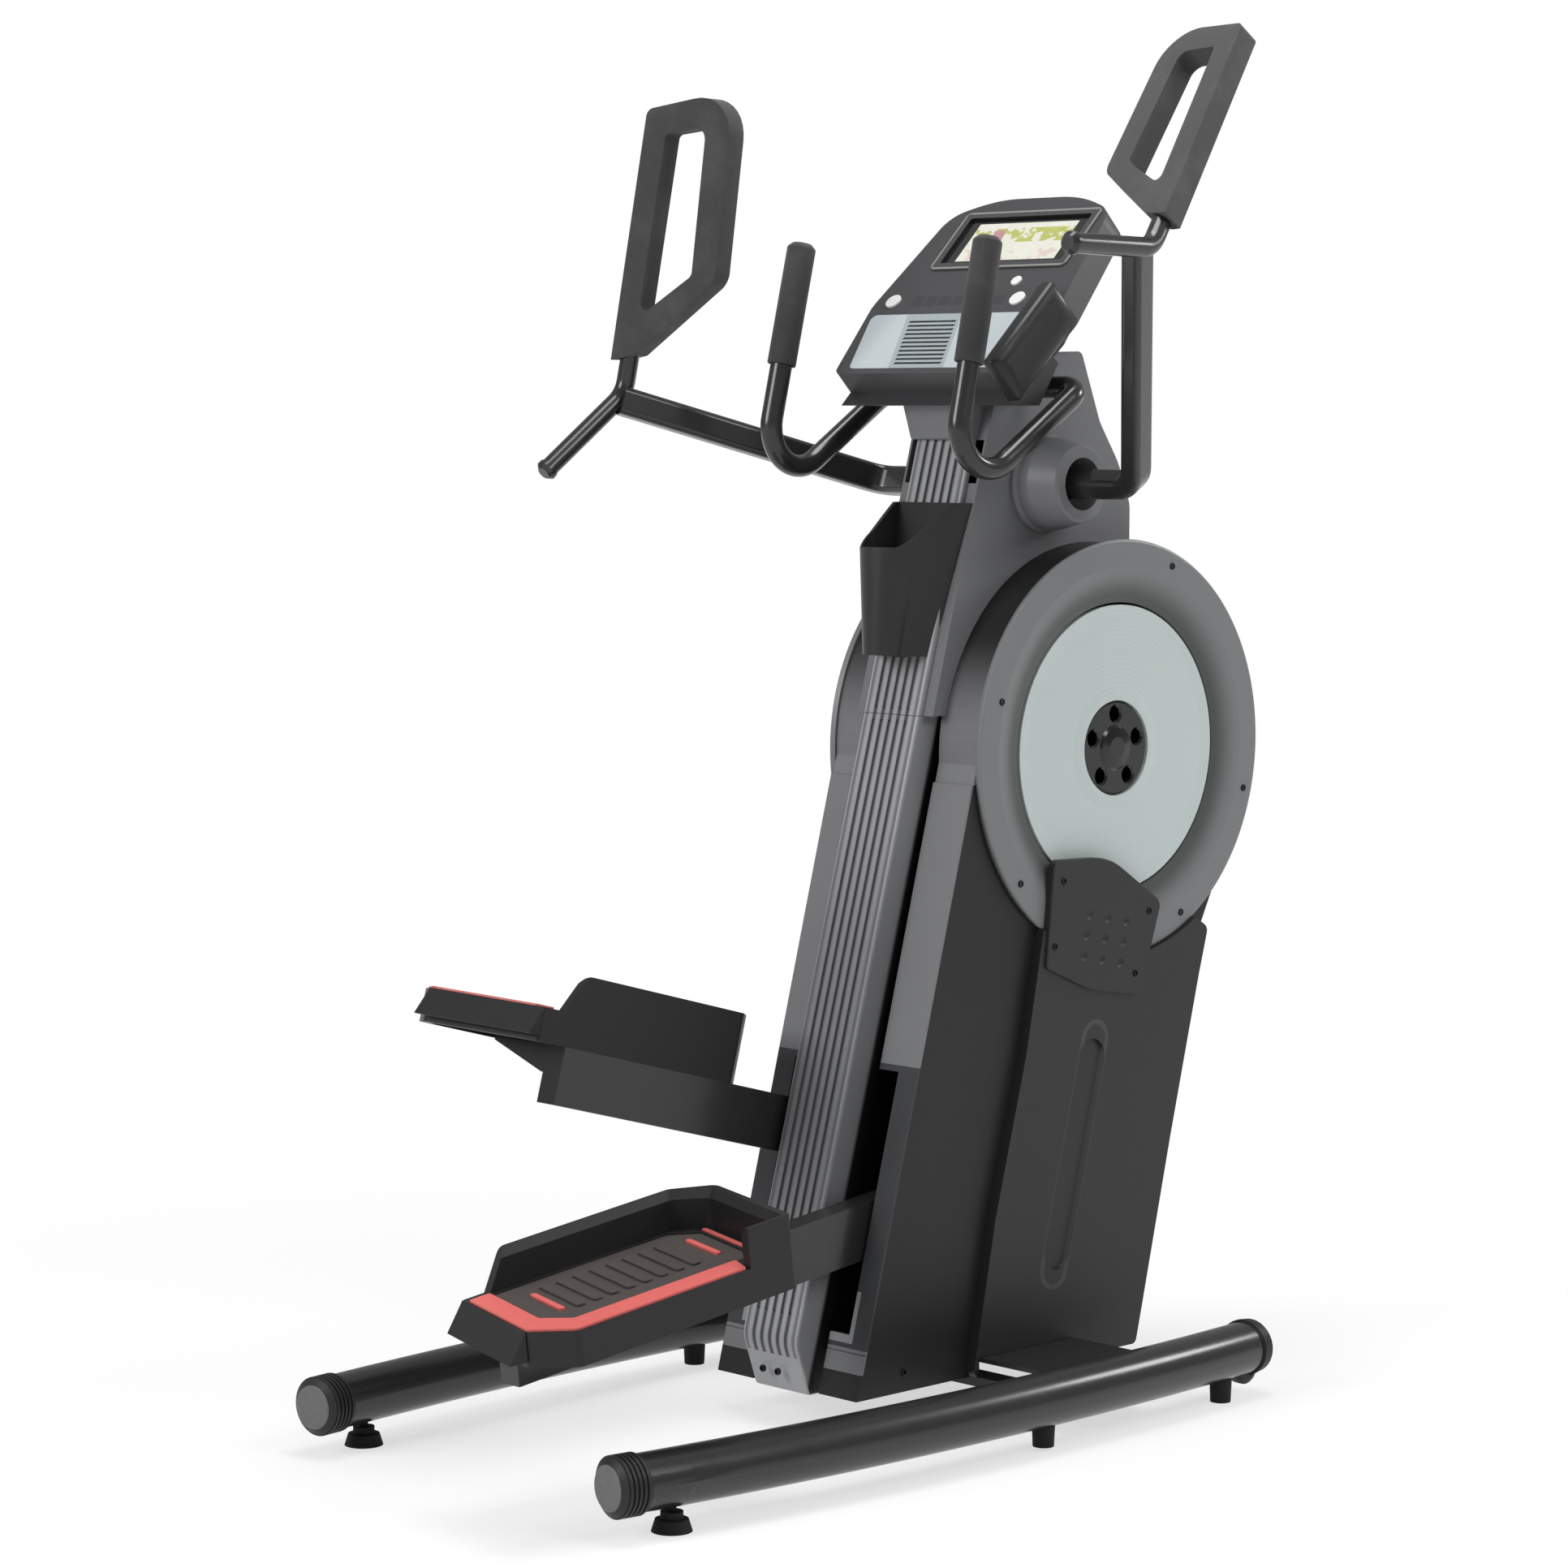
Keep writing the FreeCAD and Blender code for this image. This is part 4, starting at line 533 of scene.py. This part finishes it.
def slide_corner(start, end, inside):
    """Slides the corner nearest to start, on the plane's rim or inside it, to end."""
    bpy.ops.mesh.select_mode(type="VERT")
    bpy.ops.mesh.select_all(action="DESELECT")
    mesh = bmesh.from_edit_mesh(loop.data)
    corners = [v for v in mesh.verts if v.is_boundary != inside]
    corner = min(corners, key=lambda v: (v.co.xy - Vector(start)).length)
    corner.select_set(True)
    here = corner.co.copy()
    bmesh.update_edit_mesh(loop.data)
    slide(end[0] - here.x, end[1] - here.y, 0)


for start, end in zip(blank_corners, loop_outer):
    slide_corner(start, end, False)
choose(loop, "FACE", lambda face: True)
bpy.ops.mesh.inset(thickness=0.012)      # a first border, which the corners then slide away from
for start, end in zip(loop_outer, loop_inner):
    slide_corner(start, end, True)
choose(loop, "FACE", lambda face: not any(edge.is_boundary for edge in face.edges))
bpy.ops.mesh.delete(type="FACE")
choose(loop, "FACE", lambda face: True)
pull(0, 0, loop_thickness)
bpy.ops.mesh.select_all(action="SELECT")
bpy.ops.mesh.normals_make_consistent(inside=False)


def round_corner(corners, index, radius):
    """Rounds the loop's upright edge at one of its corners."""
    here = Vector(corners[index])
    before, after = Vector(corners[index - 1]) - here, Vector(corners[(index + 1) % 4]) - here

    def stands_here(edge):
        low, high = (v.co for v in edge.verts)
        upright = abs(low.z - high.z) > loop_thickness / 2
        return upright and (low.xy - here).length < 0.0005 > (high.xy - here).length

    choose(loop, "EDGE", stands_here)
    bpy.ops.mesh.bevel(offset=radius / math.tan(before.angle(after) / 2), segments=9)


for corners, radii in ((loop_outer, outer_radii), (loop_inner, inner_radii)):
    for index, radius in enumerate(radii):
        round_corner(corners, index, radius)
soften(loop, 0.010, 5)
bpy.ops.object.mode_set(mode="EDIT")
bpy.ops.mesh.select_all(action="SELECT")
foot_place, foot_direction = (-0.0145, -0.0005, 0), (0.039, -0.015, 0)
bpy.ops.mesh.bisect(plane_co=foot_place, plane_no=foot_direction, clear_inner=True, use_fill=True)
bpy.ops.object.mode_set(mode="OBJECT")
bpy.ops.object.shade_smooth_by_angle(angle=math.radians(40))

face_of_loop = Vector((-0.155, -0.761, 0.629)).normalized()
across_loop = face_of_loop.cross(Vector((-0.184, 0.648, 0.739))).normalized()
along_loop = across_loop.cross(face_of_loop)
loop_plane = Matrix((along_loop, across_loop, face_of_loop)).transposed().to_4x4()
arm_spread = math.radians(39.35)    # between the two arms, which stand at different angles
left_plane = Matrix.Rotation(arm_spread, 4, "X") @ Matrix.Scale(-1, 4, (1, 0, 0)) @ loop_plane
pad(copy_at(loop, "loop_foam_right", loop_plane), loop_foam, "loop_grip_right", "hand_arm_r")
pad(copy_at(loop, "loop_foam_left", left_plane), loop_foam, "loop_grip_left", "hand_arm_l")
bpy.data.objects.remove(loop)


# ---- foam sleeves on the grab bars -------------------------------------------------------------------
# Foam tubes pushed over the bars' upright ends, with a thin skin and a closed top with a rounded edge.
# A shallow recess at the foot shows that the sleeve is a tube round the bar.
bar_foam = foam("bar foam", tone(44, 44, 44))
grip_length, grip_radius = 0.180, 0.021
top_steps = (0.003, 0.004)          # each step goes in and up by this much, and together they round the top
wall_length = grip_length - sum(top_steps)
sleeve = primitive("cylinder", "bar_foam", vertices=40, radius=grip_radius, depth=wall_length,
                   location=(0, 0, -sum(top_steps) / 2))
choose(sleeve, "FACE", lambda face: face.normal.z > 0.9)
for step in top_steps:
    bpy.ops.mesh.inset(thickness=step)
    slide(0, 0, step)
bpy.ops.mesh.inset(thickness=0.006)
foam_wall, foot_recess = 0.0046, 0.004
choose(sleeve, "FACE", lambda face: face.normal.z < -0.9)
bpy.ops.mesh.inset(thickness=foam_wall)
pull(0, 0, foot_recess)
soften(sleeve, 0.0015, 2)
for side, name in ((1, "right"), (-1, "left")):
    bar_rise = (-0.004 * side, 0.087, 0.380)
    upright = copy_at(sleeve, "bar_foam_" + name, facing((0, 0, 0), bar_rise))
    pad(upright, bar_foam, "bar_grip_" + name, "frame")
bpy.data.objects.remove(sleeve)


# ---- console -----------------------------------------------------------------------------------------
# A charcoal housing with a raised frame round a lit screen, a row of membrane keys, three round silver
# keys that press in, a pale panel with a speaker grille in a slanted patch, and a pod on its right side.
slope = math.radians(45)
panel_foot, panel_proud, panel_sunk = 0.0062, 0.001, 0.006     # how the pale panel sits in the console's face
panel_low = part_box("lower_panel")[0]
console_y = panel_low[1] - panel_foot * math.cos(slope) + panel_proud * math.sin(slope)
console_z = panel_low[2] - panel_foot * math.sin(slope) + panel_sunk * math.cos(slope)


def up_console(finish):
    """Distance up the console's face and height above it."""
    y, z = finish.place.axis(1) - console_y, finish.place.axis(2) - console_z
    return y * math.cos(slope) + z * math.sin(slope), z * math.cos(slope) - y * math.sin(slope)


screen_left, screen_right, screen_foot, screen_head = -0.108, 0.132, 0.224, 0.320
keys_left, keys_right, keys_foot, keys_head, key_spacing = -0.115, 0.074, 0.136, 0.156, 0.027


def over_screen(x, up, side, end):
    """1 over the screen and a border, which is side wide beside it and end wide above and below it."""
    beside = between(x, screen_left - side, screen_right + side)
    return beside * between(up, screen_foot - end, screen_head + end)


console = plastic("console charcoal", tone(62, 62, 64), 0.42, worn=0.25)
x = console.place.axis(0)
up, proud = up_console(console)
frame_line = between(proud, 0.0012, 0.006) * (1 - over_screen(x, up, 0.0105, 0.0085))
well = between(proud, -0.008, 0.0025) * over_screen(x, up, 0.003, 0.003)
key_edge = console.place.maths("PINGPONG", x - keys_left, key_spacing / 2) > 0.0025
on_skin = between(proud, -0.001, 0.001)
membrane = between(x, keys_left, keys_right) * between(up, keys_foot, keys_head) * key_edge * on_skin
colour = frame_line.mix(console.colour, console.speck.mix(tone(112, 113, 110), tone(134, 135, 131)))
colour = well.mix(colour, tone(26, 26, 26))
console.set(Base_Color=(membrane * 0.6).mix(colour, tone(48, 48, 51)))
console.on("console_body")

panel = plastic("panel pale", tone(166, 174, 177), 0.36, 900.0, 0.00006, 0.05, 0.3)
up, proud = up_console(panel)
patch = between(panel.place.axis(0) + up * 0.33, -0.062, 0.048)
# painted shade: the floors of the grille's slots are near black
slot_floor_shade = between(proud, -0.0035, -0.0003)
colour = (patch * 0.7).mix(panel.colour, tone(132, 140, 142))
panel.set(Base_Color=slot_floor_shade.mix(colour, tone(52, 54, 55)))
panel.on("lower_panel")
plastic("key silver", tone(206, 208, 206), 0.26, 900.0, 0.00003, 0.04, 0.2).on("key_1", "key_2", "key_3")

display_left, display_right, display_foot, display_head = -0.086, 0.110, 0.232, 0.311
line_spacing = 0.0022
glass = Finish("lit screen")
x = glass.place.axis(0)
up = up_console(glass)[0]
lit = between(x, display_left, display_right) * between(up, display_foot, display_head)
grid = between(glass.place.maths("PINGPONG", up, line_spacing / 2), 0.00018, 0.0011)
cloud = glass.place.noise(38.0, 3.0, 0.6)
bars = between(up, 0.270, 0.300) * (cloud > 0.5)
stripe = between(x + up * 0.2, 0.012, 0.034) * between(up, 0.250, 0.296)
tray = between(up, display_foot, 0.256) * (glass.place.noise(60.0, 2.0) > 0.56)
picture = cloud.mix(tone(240, 238, 220), tone(255, 254, 246))
picture = bars.mix(picture, cloud.mix(tone(168, 176, 60), tone(220, 224, 128)))
picture = stripe.mix(picture, tone(206, 150, 158))
picture = (tray * 0.7).mix(picture, tone(236, 206, 196))
glass.set(
    Base_Color=cloud.mix(tone(10, 11, 11), tone(24, 25, 25)),
    Emission_Color=lit.mix((0, 0, 0, 1), (grid * 0.25 + 0.7).mix((0, 0, 0, 1), picture)),
    Emission_Strength=1.0,
    Roughness=glass.place.noise(30.0, 4.0, 0.7) * 0.10 + 0.06,
    Coat_Weight=0.6,
    Coat_Roughness=0.05,
)
glass.bump(glass.place.noise(12.0, 2.0), 0.00004, 0.2)
glass.on("screen")

pod_size, pod_x, pod_up, pod_proud = (0.024, 0.170, 0.079), 0.174, 0.063, -0.0025
pod = primitive("cube", "console_pod", size=1, scale=pod_size, location=(0, 0, 0))
choose(pod, "FACE", lambda face: face.normal.x > 0.9)
for border, rise in ((0.013, 0.005), (0.012, -0.0015)):
    bpy.ops.mesh.inset(thickness=border)
    slide(rise, 0, 0)
head_drop = 0.004                   # the upper end stands less proud of the console than the foot
choose(pod, "FACE", lambda face: face.normal.y > 0.99)
slide(0, 0, -head_drop)
soften(pod, 0.006, 4)
pod.data.transform(Matrix.Translation((pod_x, console_y, console_z)) @ Matrix.Rotation(slope, 4, "X")
                   @ Matrix.Translation((0, pod_up, pod_proud)))
fit(pod, plastic("pod charcoal", tone(40, 40, 41), 0.34, worn=0.4), "frame")


# ---- cup holder --------------------------------------------------------------------------------------
# A tapered moulded cup with a slanted rim, in a finer and glossier charcoal than the covers.
# Its saddle hugs the head casing above the seam of the mast.
plastic("cup charcoal", tone(38, 38, 39), 0.36, worn=0.4).on("cup_holder")


# ---- studio ------------------------------------------------------------------------------------------
# A pale matt floor that runs out to white, four soft lamps, and a camera at chest height.
# The floor and the backdrop glow for the camera alone, and light the machine more softly.
bpy.ops.object.select_all(action="DESELECT")
floor_size, shade_from, shade_to, near_glow = 60, 0.9, 2.4, 0.64
bpy.ops.mesh.primitive_grid_add(x_subdivisions=4, y_subdivisions=4, size=floor_size)
floor = bpy.context.object
floor.name = "studio_floor"
stage = bpy.data.materials.new("studio floor")
stage.use_nodes = True
start = Shade(stage.node_tree, None)
camera_ray = start.node("LightPath", out="Is Camera Ray")
glossy_ray = start.node("LightPath", out="Is Glossy Ray")
through_ray = start.node("LightPath", out="Is Transmission Ray")
seen = start.maths("ADD", camera_ray + glossy_ray, through_ray, True)
place = start.node("NewGeometry", out="Position")
across, along = place.axis(0), place.axis(1)
distance = start.maths("SQRT", across * across + along * along)
glow_share = seen * (distance.within(shade_from, shade_to) * (1 - near_glow) + near_glow)
matt = start.node("BsdfDiffuse", Color=(0.86, 0.86, 0.86, 1))
surface = start.node("MixShader", i0=glow_share, i1=matt, i2=start.node("Emission"))
stage.node_tree.links.new(surface.socket, stage.node_tree.nodes["Material Output"].inputs["Surface"])
floor.data.materials.append(stage)

world = bpy.data.worlds.new("studio")
bpy.context.scene.world = world
world.use_nodes = True
sky_light = 0.35                    # strength for all but the camera, which sees 1
start = Shade(world.node_tree, None)
seen = start.node("LightPath", out="Is Camera Ray") + start.node("LightPath", out="Is Transmission Ray")
strength = start.maths("MINIMUM", seen, 1.0) * (1 - sky_light) + sky_light
background = world.node_tree.nodes["Background"]
background.inputs["Color"].default_value = (1, 1, 1, 1)
world.node_tree.links.new(strength.socket, background.inputs["Strength"])


def lamp(name, place, aim, size, power):
    """Square area lamp at a place, aimed at another, with its power in watts."""
    data = bpy.data.lights.new(name, "AREA")
    data.size = size
    data.energy = power
    lamp_object = bpy.data.objects.new(name, data)
    bpy.context.scene.collection.objects.link(lamp_object)
    lamp_object.location = place
    lamp_object.rotation_euler = (Vector(aim) - Vector(place)).to_track_quat("-Z", "Y").to_euler()


lamp("key", (4.6, 1.0, 4.0), (0, 0.2, 1.0), 2.2, 95)
lamp("side", (1.9, 4.4, 3.1), (0.1, 0.5, 1.0), 1.0, 55)
lamp("fill", (-1.2, -5.2, 3.2), (0, 0, 0.8), 2.4, 172)
lamp("top", (0.3, 0.2, 5.2), (0, 0, 1.0), 2.4, 150)

camera_place = (4.223, -4.1641, 1.419)
camera_data = bpy.data.cameras.new("camera")
camera_data.sensor_width = 36.0
camera_data.lens = 96.77
camera = bpy.data.objects.new("camera", camera_data)
bpy.context.scene.collection.objects.link(camera)
turn, tip, roll = math.radians(45.883), math.radians(4.928), math.radians(0.138)
camera.matrix_world = (
    Matrix.Translation(camera_place)
    @ Matrix.Rotation(turn, 4, "Z")
    @ Matrix.Rotation(math.pi / 2 - tip, 4, "X")
    @ Matrix.Rotation(roll, 4, "Z")
)
bpy.context.scene.camera = camera
bpy.context.scene.view_settings.view_transform = "Standard"
